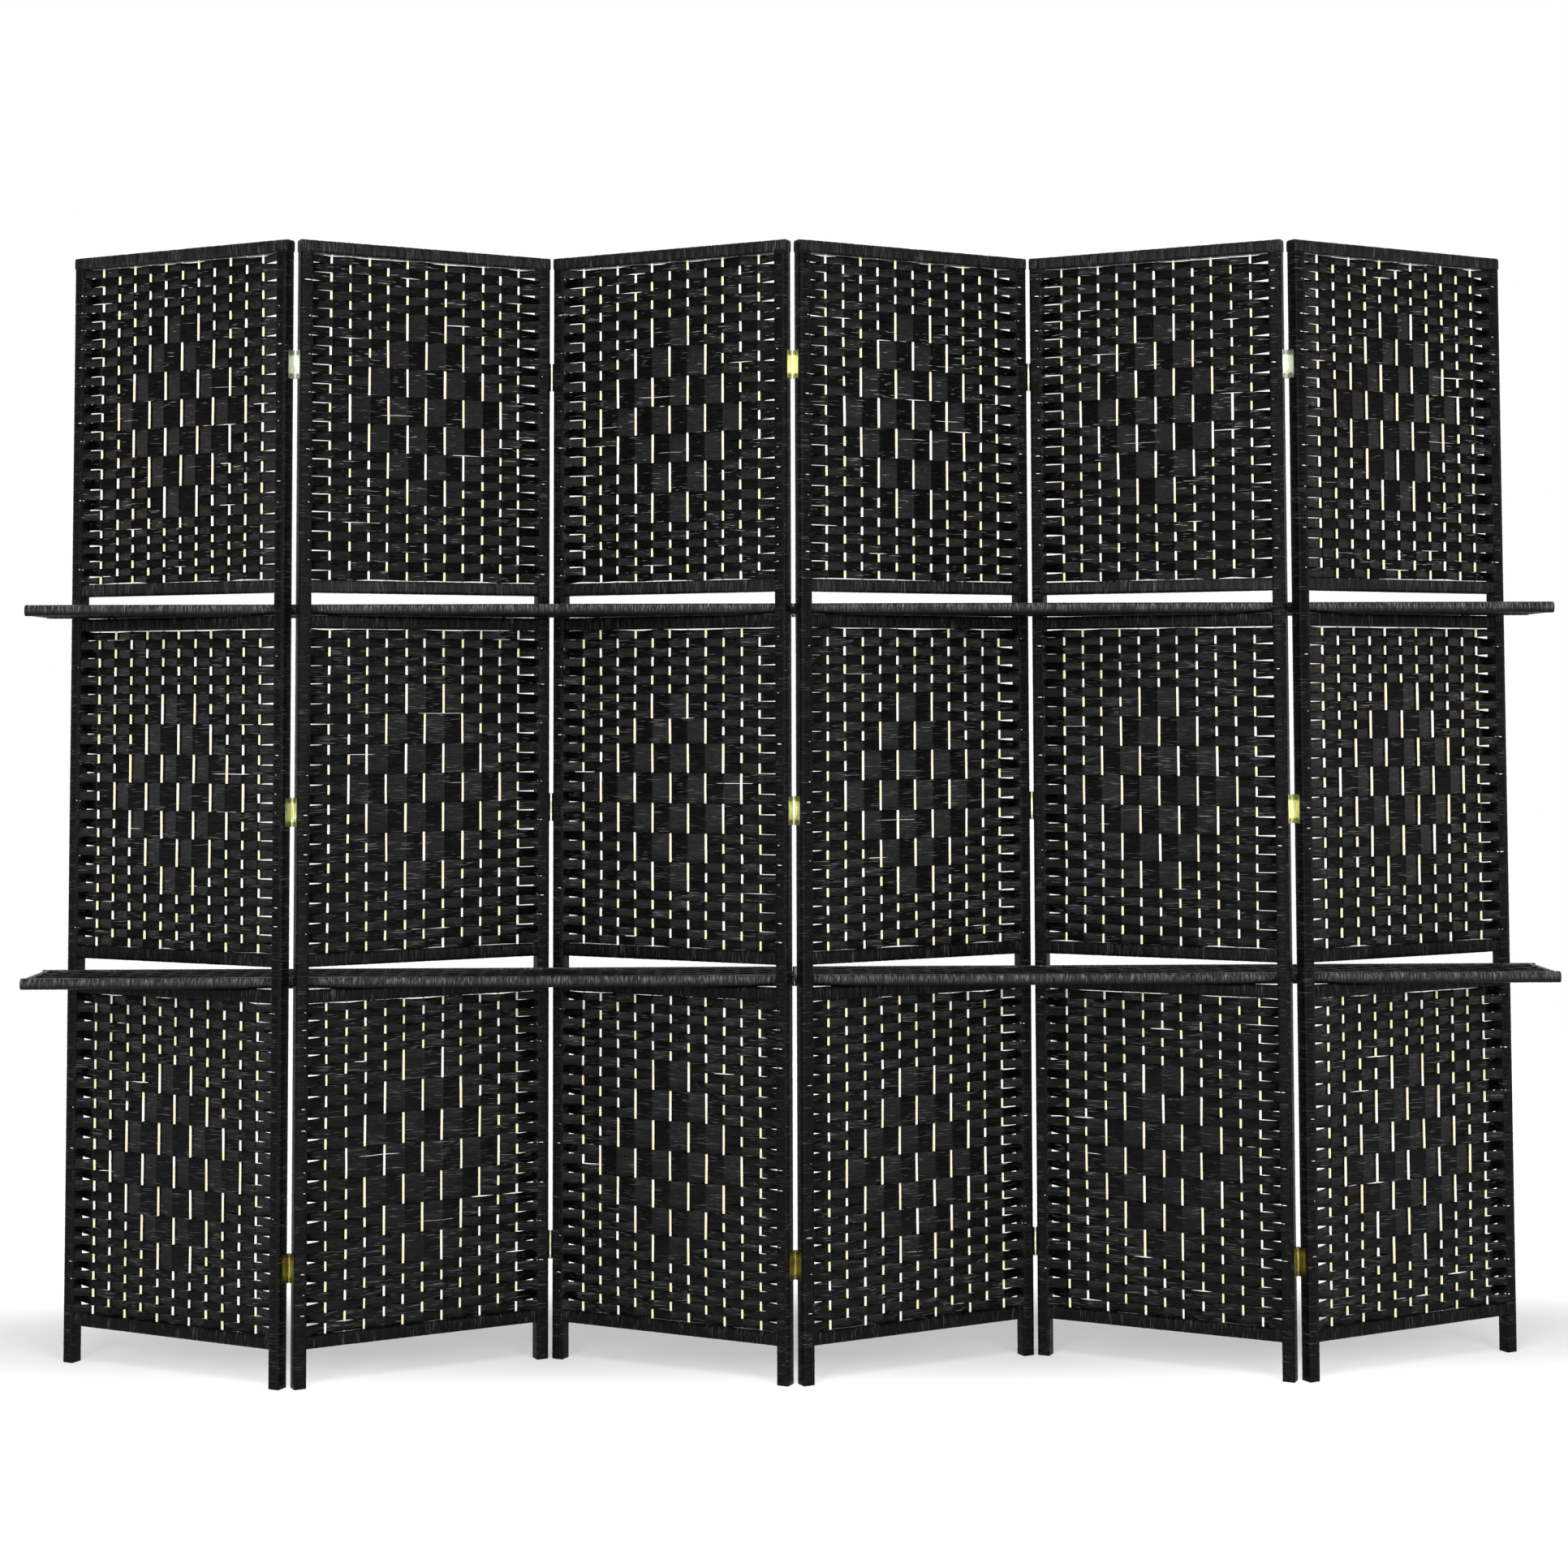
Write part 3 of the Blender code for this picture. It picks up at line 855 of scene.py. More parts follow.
@dataclass
class WovenSection:
    """Flat rope woven round the sticks and the stiles, with a diamond of taller cells."""

    plan: SectionPlan
    panel: int
    seed: int = 0
    swing: float = 2.9 * MM  # from the middle of the sticks to the middle of the rope
    thickness: float = 1.5 * MM
    near_face: float = 1.35 * MM  # how deep the rope's middle lies at a stile's inner edge
    into_stile: tuple[float, float] = (7 * MM, 3 * MM)  # its last two stations beyond the edge
    sunk: tuple[float, float] = (2.4 * MM, 1.1 * MM)  # and how deep it lies there
    thin_edge: float = 0.22  # a row's edge, as a share of its thickness
    blunt_edge: float = 0.95  # the same where two rows run side by side
    edge_height: float = 1.5 * MM  # how wide that edge is
    edge_share: float = 0.2  # and the most of a low row's height that it takes
    overlap: float = 0.12 * MM  # of two rows with no slit between them
    closed: float = 0.2 * MM  # the gap under which a row laps over the next one
    lap: float = 1.25 * MM  # how far a row reaches past its bounds where it runs behind
    cell_steps: tuple[float, ...] = (0.0, 0.07, 0.5, 0.93)  # shares of the way between sticks
    diamond_rows: int = 7
    rows_per_tall_cell: int = 3
    thin_slits: dict[Level, float] = field(default_factory=lambda: {
        Level.UPPER: 0.34, Level.MIDDLE: 0.2, Level.LOWER: 0.16,
    })  # the chance of one between two rows
    thin_slit_length: tuple[float, float] = (0.5, 2.2)  # in widths of a cell
    thin_slit_height: tuple[float, float] = (0.3, 0.8)  # in millimetres
    end_gaps: dict[Level, tuple[float, float]] = field(default_factory=lambda: {
        Level.UPPER: (2.6, 1.9), Level.MIDDLE: (1.5, 0.6), Level.LOWER: (1.8, -0.6),
    })  # twice the mean gap under the rail above and over the one below, in millimetres
    left_slit_spread: tuple[float, float] = (0.75, 1.15)
    left_slit_taper: float = 0.65  # the power by which it closes away from the stile
    right_slit_spread: tuple[float, float] = (0.7, 1.2)
    right_slit_taper: float = 0.75  # how much lower it is at its far end
    right_slit_reach: float = 0.97  # where that lies, as a share of a cell
    row_step: float = 0.61  # how far the fibres' pattern moves on from row to row
    patterns: int = 89

    def __post_init__(self) -> None:
        """Look up the panel's weave and count the cells between the stiles."""
        self.weave: PanelWeave = self.plan.weaves[self.panel - 1]
        self.cells: int = SIZES.stick_count + 1

    def passes_in_front(self, row: int, stick: int) -> bool:
        """Tell whether a row passes in front of a stick.

        Args:
            row: The row, counted from 1 at the top.
            stick: The stick, from 1; 0 and one more than the last are the stiles.

        Returns:
            True where the rope hides the stick from the front.
        """
        away = abs(stick - self.cells // 2)
        tall_row = (row - self.weave.diamond_start) // self.rows_per_tall_cell
        if 0 <= tall_row < self.diamond_rows:
            reach = 1 + min(tall_row, self.diamond_rows - 1 - tall_row)
            if away <= reach:
                return (away - reach) % 2 == 1
        bares_odd = (row % 2 == 1) == self.weave.first_row_bares_odd_sticks
        return (stick % 2 == 1) != bares_odd

    def _fronts(self, bound: int, stick: int) -> tuple[bool, bool]:
        """Tell whether the rows above and below a bound pass in front of a stick."""
        return self.passes_in_front(bound, stick), self.passes_in_front(bound + 1, stick)

    def _shares(self) -> np.ndarray:
        """Return the places between the stiles, counted in sticks from the left stile."""
        steps = np.arange(self.cells)[:, None] + np.array(self.cell_steps)[None, :]
        return np.append(steps.ravel(), float(self.cells))

    def _stations(self) -> np.ndarray:
        """Find where the rope's cross-section is laid.

        Returns:
            The places across the panel.
        """
        inner, far = SIZES.stile_width, SIZES.panel_width - SIZES.stile_width
        deep, shallow = self.into_stile
        inside = inner + SIZES.stick_pitch() * self._shares()
        return np.concatenate([
            [inner - deep, inner - shallow], inside, [far + shallow, far + deep]
        ])

    def _depths(self, row: int, stations: np.ndarray, wander: Wander) -> np.ndarray:
        """Find how deep a row runs.

        Args:
            row: The row.
            stations: The places across the panel.
            wander: Strays a little from the even run.

        Returns:
            The depth of the rope's middle at each station, from the front face.
        """
        middle = SIZES.stile_depth / 2
        signs = [-1 if self.passes_in_front(row, stick) else 1 for stick in range(self.cells + 1)]
        knots = [middle + sign * self.swing for sign in signs]
        ends = []
        for stick in (0, self.cells):
            knots[stick] = middle + signs[stick] * (middle - self.near_face)
            ends.append([middle + signs[stick] * (middle - depth) for depth in self.sunk])
        inside = np.interp(self._shares(), np.arange(self.cells + 1), knots)
        line = np.concatenate([ends[0], inside, ends[1][::-1]])
        return line + wander.line(stations, step=30 * MM, size=0.25 * MM)

    def _gaps(self, stations: np.ndarray, wander: Wander) -> np.ndarray:
        """Find how far apart the rows lie.

        Args:
            stations: The places across the panel.
            wander: Opens thin slits here and there.

        Returns:
            The gap under each bound between rows, by bound and station.
        """
        weave, pitch = self.weave, SIZES.stick_pitch()
        inner, far = SIZES.stile_width, SIZES.panel_width - SIZES.stile_width
        gaps = np.full((weave.rows + 1, len(stations)), -self.overlap)
        from_left = np.clip((stations - inner) / pitch, 0, 1)
        from_right = np.clip((far - stations) / pitch, 0, 1)
        for bound in range(weave.rows + 1):
            if bound in (0, weave.rows):
                loose = self.end_gaps[self.plan.level][0 if bound == 0 else 1]
                gaps[bound] = loose * MM + wander.line(stations, step=34 * MM, size=2.6 * MM)
                continue
            if wander.chance(self.thin_slits[self.plan.level]):
                start = wander.amount(inner, far - pitch)
                length = wander.amount(*self.thin_slit_length) * pitch
                inside = (stations > start) & (stations < start + length)
                height = wander.amount(*self.thin_slit_height) * MM
                gaps[bound] = np.where(inside, height, gaps[bound])
            if self._fronts(bound, 0) == (False, True):
                slit = weave.left_slit * MM * wander.amount(*self.left_slit_spread)
                wedge = slit * (1 - from_left) ** self.left_slit_taper
                gaps[bound] = np.maximum(gaps[bound], wedge - self.overlap)
            if self._fronts(bound, self.cells) == (True, False):
                slit = weave.right_slit * MM * wander.amount(*self.right_slit_spread)
                wedge = slit * (1 - self.right_slit_taper * from_right)
                wedge = wedge * (from_right < self.right_slit_reach)
                gaps[bound] = np.maximum(gaps[bound], wedge - self.overlap)
        return gaps

    def _same_plane(self, bound: int, stations: np.ndarray) -> np.ndarray:
        """Tell where the rows on both sides of a bound run side by side.

        Args:
            bound: The bound, counted from 0 at the top.
            stations: The places across the panel.

        Returns:
            True or False for each station.
        """
        if bound in (0, self.weave.rows):
            return np.zeros(len(stations), bool)
        fronts = [self._fronts(bound, stick) for stick in range(self.cells + 1)]
        same = np.array([above == below for above, below in fronts])
        share = (stations - SIZES.stile_width) / SIZES.stick_pitch()
        nudge = 1e-6  # so that a station on a stick counts as on it
        low = np.clip(np.floor(share + nudge).astype(int), 0, self.cells)
        high = np.clip(np.ceil(share - nudge).astype(int), 0, self.cells)
        return same[low] & same[high]

    def add_to(self, rope: RopeMesh) -> None:
        """Add every row of the section.

        Args:
            rope: The mesh that the rows go to.
        """
        wander = Wander(self.seed)
        stations = self._stations()
        rows = self.weave.rows
        gaps = self._gaps(stations, wander)
        bounds = []
        for bound, height in enumerate(self.plan.row_bounds(self.panel)):
            drift = wander.line(stations, step=60 * MM, size=0.35 * MM)
            bounds.append(height + drift * (0 < bound < rows))
        for row in range(1, rows + 1):
            depth = self._depths(row, stations, wander)
            behind = np.clip((depth - SIZES.stile_depth / 2) / self.swing, 0, 1)
            edges, shares = [], []
            for bound, upward in ((row, 1), (row - 1, -1)):
                same = self._same_plane(bound, stations)
                lap = behind * ~same * (gaps[bound] < self.closed) * (0 < bound < rows)
                edges.append(bounds[bound] + upward * (gaps[bound] / 2 - self.lap * lap))
                shares.append(np.where(same, self.blunt_edge, self.thin_edge))
            lean = wander.line(stations, step=26 * MM, size=0.45 * MM)
            self._add_row(rope, row, stations, (depth, lean), edges, shares)

    def _add_row(
        self, rope: RopeMesh, row: int, stations: np.ndarray, run: tuple[np.ndarray, np.ndarray],
        edges: list[np.ndarray], shares: list[np.ndarray],
    ) -> None:
        """Add one row as a flat tube from stile to stile.

        Args:
            rope: The mesh that it goes to.
            row: The row.
            stations: The places across the panel.
            run: The depth of the row's middle, and how far its edges lean in or out.
            edges: The heights of its lower and upper edge.
            shares: How thick those edges are, as shares of its thickness.
        """
        bottom, top = edges
        inset = np.minimum(self.edge_height, (top - bottom) * self.edge_share)
        corners = (
            (bottom, -1.0, shares[0]), (bottom + inset, -0.7, 1.0), (top - inset, 0.7, 1.0),
            (top, 1.0, shares[1]),
        )
        lines, fibres = [], []
        pattern = np.full(len(stations), row * self.row_step + self.seed % self.patterns)
        for side in (-1, 1):
            for height, leaning, share in corners[::-side]:
                depth = run[0] + run[1] * leaning + side * self.thickness / 2 * share
                lines.append(np.column_stack([stations, depth, height]))
                fibres.append(np.column_stack([stations, height, pattern]))
        rope.add_lines(lines, fibres)


@dataclass
class StickRow:
    """The upright sticks of one section."""

    plan: SectionPlan
    seed: int
    sides: int = 10
    let_in: float = 6 * MM  # how far an end runs into a rail
    rings: int = 9
    sideways: float = 0.5  # how far a stick may stand from its even place, in millimetres
    stick_step: float = 1.37  # how far the grain's pattern moves on from stick to stick
    patterns: int = 53

    def add_to(self, sticks: RopeMesh) -> None:
        """Add the sticks, each a slightly wandering flattened rod.

        Args:
            sticks: The mesh that they go to.
        """
        wander = Wander(self.seed)
        angles = np.linspace(0, 2 * math.pi, self.sides, endpoint=False)
        levels = np.linspace(
            self.plan.floor - self.let_in, self.plan.top + self.let_in, self.rings
        )
        shape = (self.rings, self.sides)
        heights = np.broadcast_to(levels[:, None], shape)
        depths = SIZES.stile_depth / 2 + SIZES.stick_depth / 2 * np.sin(angles)
        for stick in range(1, SIZES.stick_count + 1):
            across = SIZES.stile_width + stick * SIZES.stick_pitch()
            bend = wander.line(levels, step=0.12, size=1.0 * MM)
            across = across + bend + wander.amount(-self.sideways, self.sideways) * MM
            thicker = wander.line(levels, step=0.06, size=0.25 * MM)
            half_width = SIZES.stick_width / 2 + thicker
            sticks.add_tube(
                np.stack([
                    across[:, None] + half_width[:, None] * np.cos(angles),
                    np.broadcast_to(depths, shape), heights,
                ], axis=-1),
                np.stack([
                    heights, np.broadcast_to(angles * SIZES.stick_width / 2, shape),
                    np.full(shape, stick * self.stick_step + self.seed % self.patterns),
                ], axis=-1),
            )


@dataclass
class Panel:
    """One panel: two wound stiles, wound rails, sticks and three woven sections."""

    number: int
    rail_turn: float = 12.5 * MM
    rail_reach: float = 3 * MM  # how far a rail runs into the stiles
    rail_rounding: float = 3.6 * MM
    top_rail_turn: float = 14 * MM
    top_rail_proud: float = 0.4 * MM
    top_rail_rounding: float = 4.4 * MM
    top_rail_pillow: float = 0.55 * MM
    stile_turn: float = 11 * MM
    stile_end: float = 0.6  # how far under the top its rope ends, in heights of a rail
    stile_rounding: float = 2.4 * MM
    stile_pillow: float = 0.22 * MM
    rope_thickness: float = 1.5 * MM
    core_rounding: float = 3 * MM
    curl_size: tuple[float, float] = (0.6 * MM, 1.9 * MM)  # where it is widest
    curl_reach: tuple[float, float] = (0.3, 0.75)  # as a share of the stile's width
    curl_taper: float = 0.7  # the power by which a curl closes
    curls: dict[Level, float] = field(default_factory=lambda: {
        Level.UPPER: 0.65, Level.MIDDLE: 0.5, Level.LOWER: 0.4,
    })  # the chance of one where a row comes round the stile

    @contextmanager
    def _piece(
        self, part: str, finish: PaperRope | PeeledStick, slot: str, node: str
    ) -> Iterator[RopeMesh]:
        """Lend an empty mesh, and once it is filled stand it in the panel's frame.

        Args:
            part: The piece's name, without the panel's.
            finish: What it is made of.
            slot: The material slot's name; not used.
            node: The solid that it stands for, without the panel's name.

        Yields:
            The mesh to fill.
        """
        rope = RopeMesh()
        yield rope
        body = f"panel_{self.number}"
        piece = rope.piece(f"{body}_{part}", finish)
        piece.matrix_world = panel_place(self.number)
        settle(piece, body, f"{body}_{node}")

    def build(self) -> None:
        """Build all of the panel's rope, rails and sticks."""
        for side in Side:
            with self._piece(f"stile_{side.value}_rope", WOUND, "wrapped_rope", "frame") as rope:
                self._add_stile(side, rope)
            with self._piece(f"stile_{side.value}_core", CORE, "wrapped_rope", "frame") as core:
                self._add_core(side, core)
        with self._piece("rail_top", RAIL, "wrapped_rope", "frame") as rope:
            self._add_top_rail(rope)
        with self._piece("rail_bottom", WOUND, "wrapped_rope", "frame") as rope:
            self._add_rail(rope, SIZES.foot_height, 1)
        for plan in SECTIONS:
            self._build_section(plan)

    def _build_section(self, plan: SectionPlan) -> None:
        """Build a section's rope, its sticks, and the slot rails next to it.

        Args:
            plan: The section.
        """
        level, upper = plan.level.value, plan.level is Level.UPPER
        node = f"weave_{level}"
        # The factors in the seeds only keep the pieces' random draws apart
        seed = self.number * 1000 + list(Level).index(plan.level) * 100
        with self._piece(f"rope_{level}", WOVEN_GLINTS if upper else WOVEN, "woven_rope", node) as rope:
            WovenSection(plan, self.number, seed + 1).add_to(rope)
        with self._piece(f"sticks_{level}", STICK, "woven_rope", node) as sticks:
            StickRow(plan, seed + 2).add_to(sticks)
        rails: list[tuple[str, float]] = []
        if plan.level is not Level.LOWER:
            rails.append(("below", plan.floor - SIZES.rail_height))
        if not upper:
            rails.append(("above", plan.top))
        finish = RAIL if upper else WOUND
        for index, (where, floor) in enumerate(rails):
            with self._piece(f"rail_{where}_{level}", finish, "wrapped_rope", node) as rope:
                self._add_rail(rope, floor, seed + 10 + index)

    def _add_rail(self, rope: RopeMesh, floor: float, seed: int) -> None:
        """Add a rail between the stiles, wound with rope.

        Args:
            rope: The mesh that it goes to.
            floor: The height of its underside.
            seed: Sets how its turns lie.
        """
        low = SIZES.stile_width - self.rail_reach
        wander = Wander(seed * 7 + self.number)
        WoundBar(
            BarSection(SIZES.rail_depth, SIZES.rail_height, self.rail_rounding),
            Axis.ALONG_WIDTH, (SIZES.stile_depth / 2, floor + SIZES.rail_height / 2),
            even_bounds(low, SIZES.panel_width - low, self.rail_turn, wander),
            seed=seed * 11 + self.number,
        ).add_to(rope)

    def _add_top_rail(self, rope: RopeMesh) -> None:
        """Add the top rail, which runs over both stiles.

        Args:
            rope: The mesh that it goes to.
        """
        depth, proud = SIZES.stile_depth, self.top_rail_proud
        wander = Wander(self.number * 31)
        WoundBar(
            BarSection(depth + 2 * proud, SIZES.rail_height, self.top_rail_rounding),
            Axis.ALONG_WIDTH, (depth / 2, SIZES.height - SIZES.rail_height / 2),
            even_bounds(-proud, SIZES.panel_width + proud, self.top_rail_turn, wander),
            pillow=self.top_rail_pillow, seed=self.number * 37,
        ).add_to(rope)

    def _stile_bounds(self, wander: Wander) -> tuple[np.ndarray, dict[int, tuple[Level, bool]]]:
        """Divide a stile into turns.

        Args:
            wander: Shifts the turns beside the slots and at the foot.

        Returns:
            The bounds, and for each bound inside a section its level and whether the row
            above it passes in front of the stile.
        """
        bounds: list[float] = []
        front_above: dict[int, tuple[Level, bool]] = {}
        floor = 0.0
        for plan in SECTIONS:
            bounds += list(even_bounds(floor, plan.floor, self.stile_turn, wander))[:-1]
            woven = WovenSection(plan, self.number)
            levels = plan.row_bounds(self.number)
            for row_above in range(len(levels) - 1, 0, -1):
                if row_above < len(levels) - 1:
                    in_front = woven.passes_in_front(row_above, 0)
                    front_above[len(bounds)] = (plan.level, in_front)
                bounds.append(float(levels[row_above]))
            floor = plan.top
        bounds += [floor, SIZES.height - SIZES.rail_height * self.stile_end]
        return np.array(bounds), front_above

    def _stile_middle(self, side: Side) -> tuple[float, float]:
        """Return where a stile stands, across the panel and in depth."""
        left = 0.0 if side is Side.LEFT else SIZES.panel_width - SIZES.stile_width
        return left + SIZES.stile_width / 2, SIZES.stile_depth / 2

    def _stile_seed(self, side: Side) -> int:
        """Return the number that sets how a stile's rope lies."""
        return self.number * 100 + (1 if side is Side.LEFT else 2)

    def _add_stile(self, side: Side, rope: RopeMesh) -> None:
        """Add a stile's rope, with open joints where the woven rope leaves it.

        Args:
            side: Which stile it is.
            rope: The mesh that it goes to.
        """
        seed, inward = self._stile_seed(side), 1 if side is Side.LEFT else -1
        wander = Wander(seed)
        bounds, front_above = self._stile_bounds(wander)
        openings: dict[int, Opening] = {}
        for bound, (level, above) in front_above.items():
            if above == (side is Side.LEFT) and wander.chance(self.curls[level]):
                openings[bound] = self._curl(
                    inward, wander.amount(*self.curl_size), wander.amount(*self.curl_reach)
                )
        WoundBar(
            BarSection(SIZES.stile_width, SIZES.stile_depth, self.stile_rounding),
            Axis.UPRIGHT, self._stile_middle(side), bounds, pillow=self.stile_pillow,
            unevenness=0.15 * MM, seed=seed, openings=openings,
        ).add_to(rope)

    def _add_core(self, side: Side, core: RopeMesh) -> None:
        """Add the bare bar that shows in a stile's open joints.

        Args:
            side: Which stile it is.
            core: The mesh that it goes to.
        """
        rope = 2 * self.rope_thickness
        WoundBar(
            BarSection(SIZES.stile_width - rope, SIZES.stile_depth - rope, self.core_rounding),
            Axis.UPRIGHT, self._stile_middle(side),
            even_bounds(1 * MM, SIZES.height - SIZES.rail_height, pitch=0.4), pillow=0.0,
            unevenness=0.0, seed=self._stile_seed(side) + 7,
        ).add_to(core)

    def _curl(self, inward: int, size: float, reach: float) -> Opening:
        """Make the opening between two turns, widest at the stile's inner front corner.

        Args:
            inward: The direction of the panel's middle, -1 or 1.
            size: The opening at its widest.
            reach: How much of the stile's width it crosses.

        Returns:
            A function that gives the opening at each point of the stile's section.
        """
        def opening(ring: np.ndarray) -> np.ndarray:
            """Find the opening at each point.

            Args:
                ring: The section's points.

            Returns:
                The opening's height at each of them.
            """
            share = 0.5 + inward * ring[:, 0] / SIZES.stile_width
            front = (ring[:, 1] < 0).astype(float)
            return size * np.clip((share - 1 + reach) / reach, 0, 1) ** self.curl_taper * front
        return opening


@dataclass
class ShelfBoard:
    """A board: a wound rim round a middle woven of broad flat strips."""

    node: str
    seed: int
    rim: float = 15 * MM
    rim_rounding: float = 7.0 * MM
    rim_pillow: float = 0.22 * MM
    rope_turn: float = 9 * MM
    end_thinner: float = 0.6 * MM  # how much thinner the rim's two ends are
    end_rounding: float = 6.6 * MM
    end_let_in: float = 0.6  # how far they start from the board's edges, in widths of the rim
    middle_starts: tuple[float, float] = (0.8, 0.85)  # the same for the middle, both ways
    strip_pitch: float = 17.5 * MM
    strip_half_thickness: float = 0.8 * MM
    strip_gap: float = 0.2 * MM
    strip_step: float = 0.7  # how far the fibres' pattern moves on from strip to strip
    face_depth: float = 2.6 * MM  # from the rim's face to the middle of the strips' waves
    slat_pitch: float = 30 * MM
    steps_to_slat: int = 4
    wave: float = 1.1 * MM  # how far a strip rises and falls
    wave_power: float = 0.7  # under 1, so that it lies flatter on the slats

    def build(self) -> None:
        """Build the rim and the woven middle."""
        low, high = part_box(self.node)
        for part, finish, add in (
            ("rim", RIM, self._add_rim), ("weave", BOARD_WEAVE, self._add_middle)
        ):
            rope = RopeMesh()
            add(rope, low, high)
            settle(rope.piece(f"{self.node}_{part}", finish), self.node, self.node)

    def _add_rim(self, rope: RopeMesh, low: Vector, high: Vector) -> None:
        """Add two long wound bars and the two wound ends between them.

        Args:
            rope: The mesh that they go to.
            low: The board's lowest corner.
            high: Its highest corner.
        """
        thickness, level = high.z - low.z, (low.z + high.z) / 2
        wander = Wander(self.seed)
        let_in = self.rim * self.end_let_in
        long = BarSection(self.rim, thickness, self.rim_rounding)
        short = BarSection(self.rim, thickness - self.end_thinner, self.end_rounding)
        for axis, section, start, end, seed in (
            (Axis.ALONG_WIDTH, long, low.x, high.x, self.seed),
            (Axis.ALONG_DEPTH, short, low.y + let_in, high.y - let_in, self.seed + 5),
        ):
            side = 1 - axis.value
            for index, place in enumerate((low[side] + self.rim / 2, high[side] - self.rim / 2)):
                WoundBar(
                    section, axis, (place, level), even_bounds(start, end, self.rope_turn, wander),
                    pillow=self.rim_pillow, seed=seed + index,
                ).add_to(rope)

    def _add_middle(self, rope: RopeMesh, low: Vector, high: Vector) -> None:
        """Add flat strips along the board, over and under hidden slats, on both faces.

        Args:
            rope: The mesh that they go to.
            low: The board's lowest corner.
            high: Its highest corner.
        """
        wander = Wander(self.seed + 50)
        along, across = (self.rim * share for share in self.middle_starts)
        start, end = low.x + along, high.x - along
        near, far = low.y + across, high.y - across
        strips = max(3, round((far - near) / self.strip_pitch))
        width = (far - near) / strips
        slats = round((end - start) / self.slat_pitch)
        stations = np.linspace(start, end, slats * self.steps_to_slat + 1)
        level = (low.z + high.z) / 2
        lift = (high.z - low.z) / 2 - self.face_depth
        for strip in range(strips):
            middle = near + (strip + 0.5) * width
            phase = np.arange(len(stations)) / self.steps_to_slat * math.pi
            for face in (-1, 1):
                wave = np.cos(phase + math.pi * (strip % 2)) * face
                wave = np.sign(wave) * np.abs(wave) ** self.wave_power
                height = level + face * (lift + self.wave * wave)
                height = height + wander.line(stations, step=40 * MM, size=0.15 * MM)
                half = (width - self.strip_gap) / 2
                half = half + wander.line(stations, step=50 * MM, size=0.25 * MM)
                self._add_strip(rope, stations, middle, half, height, strip + 10 * face)

    def _add_strip(
        self, rope: RopeMesh, stations: np.ndarray, middle: float, half: np.ndarray,
        height: np.ndarray, number: int,
    ) -> None:
        """Add one flat strip as a tube along the board.

        Args:
            rope: The mesh that it goes to.
            stations: The places along the board.
            middle: The depth of the strip's middle.
            half: Half its width at each station.
            height: Its height there.
            number: Its number, which sets its fibres' pattern.
        """
        shape = (
            (-1, -0.3), (-0.82, -1), (0.82, -1), (1, -0.3),
            (1, 0.3), (0.82, 1), (-0.82, 1), (-1, 0.3),
        )
        pattern = np.full(len(stations), number * self.strip_step)
        lines, fibres = [], []
        for across, up in shape:
            depth = middle + across * half
            lines.append(
                np.column_stack([stations, depth, height + up * self.strip_half_thickness])
            )
            fibres.append(np.column_stack([stations, depth, pattern]))
        rope.add_lines(lines, fibres)


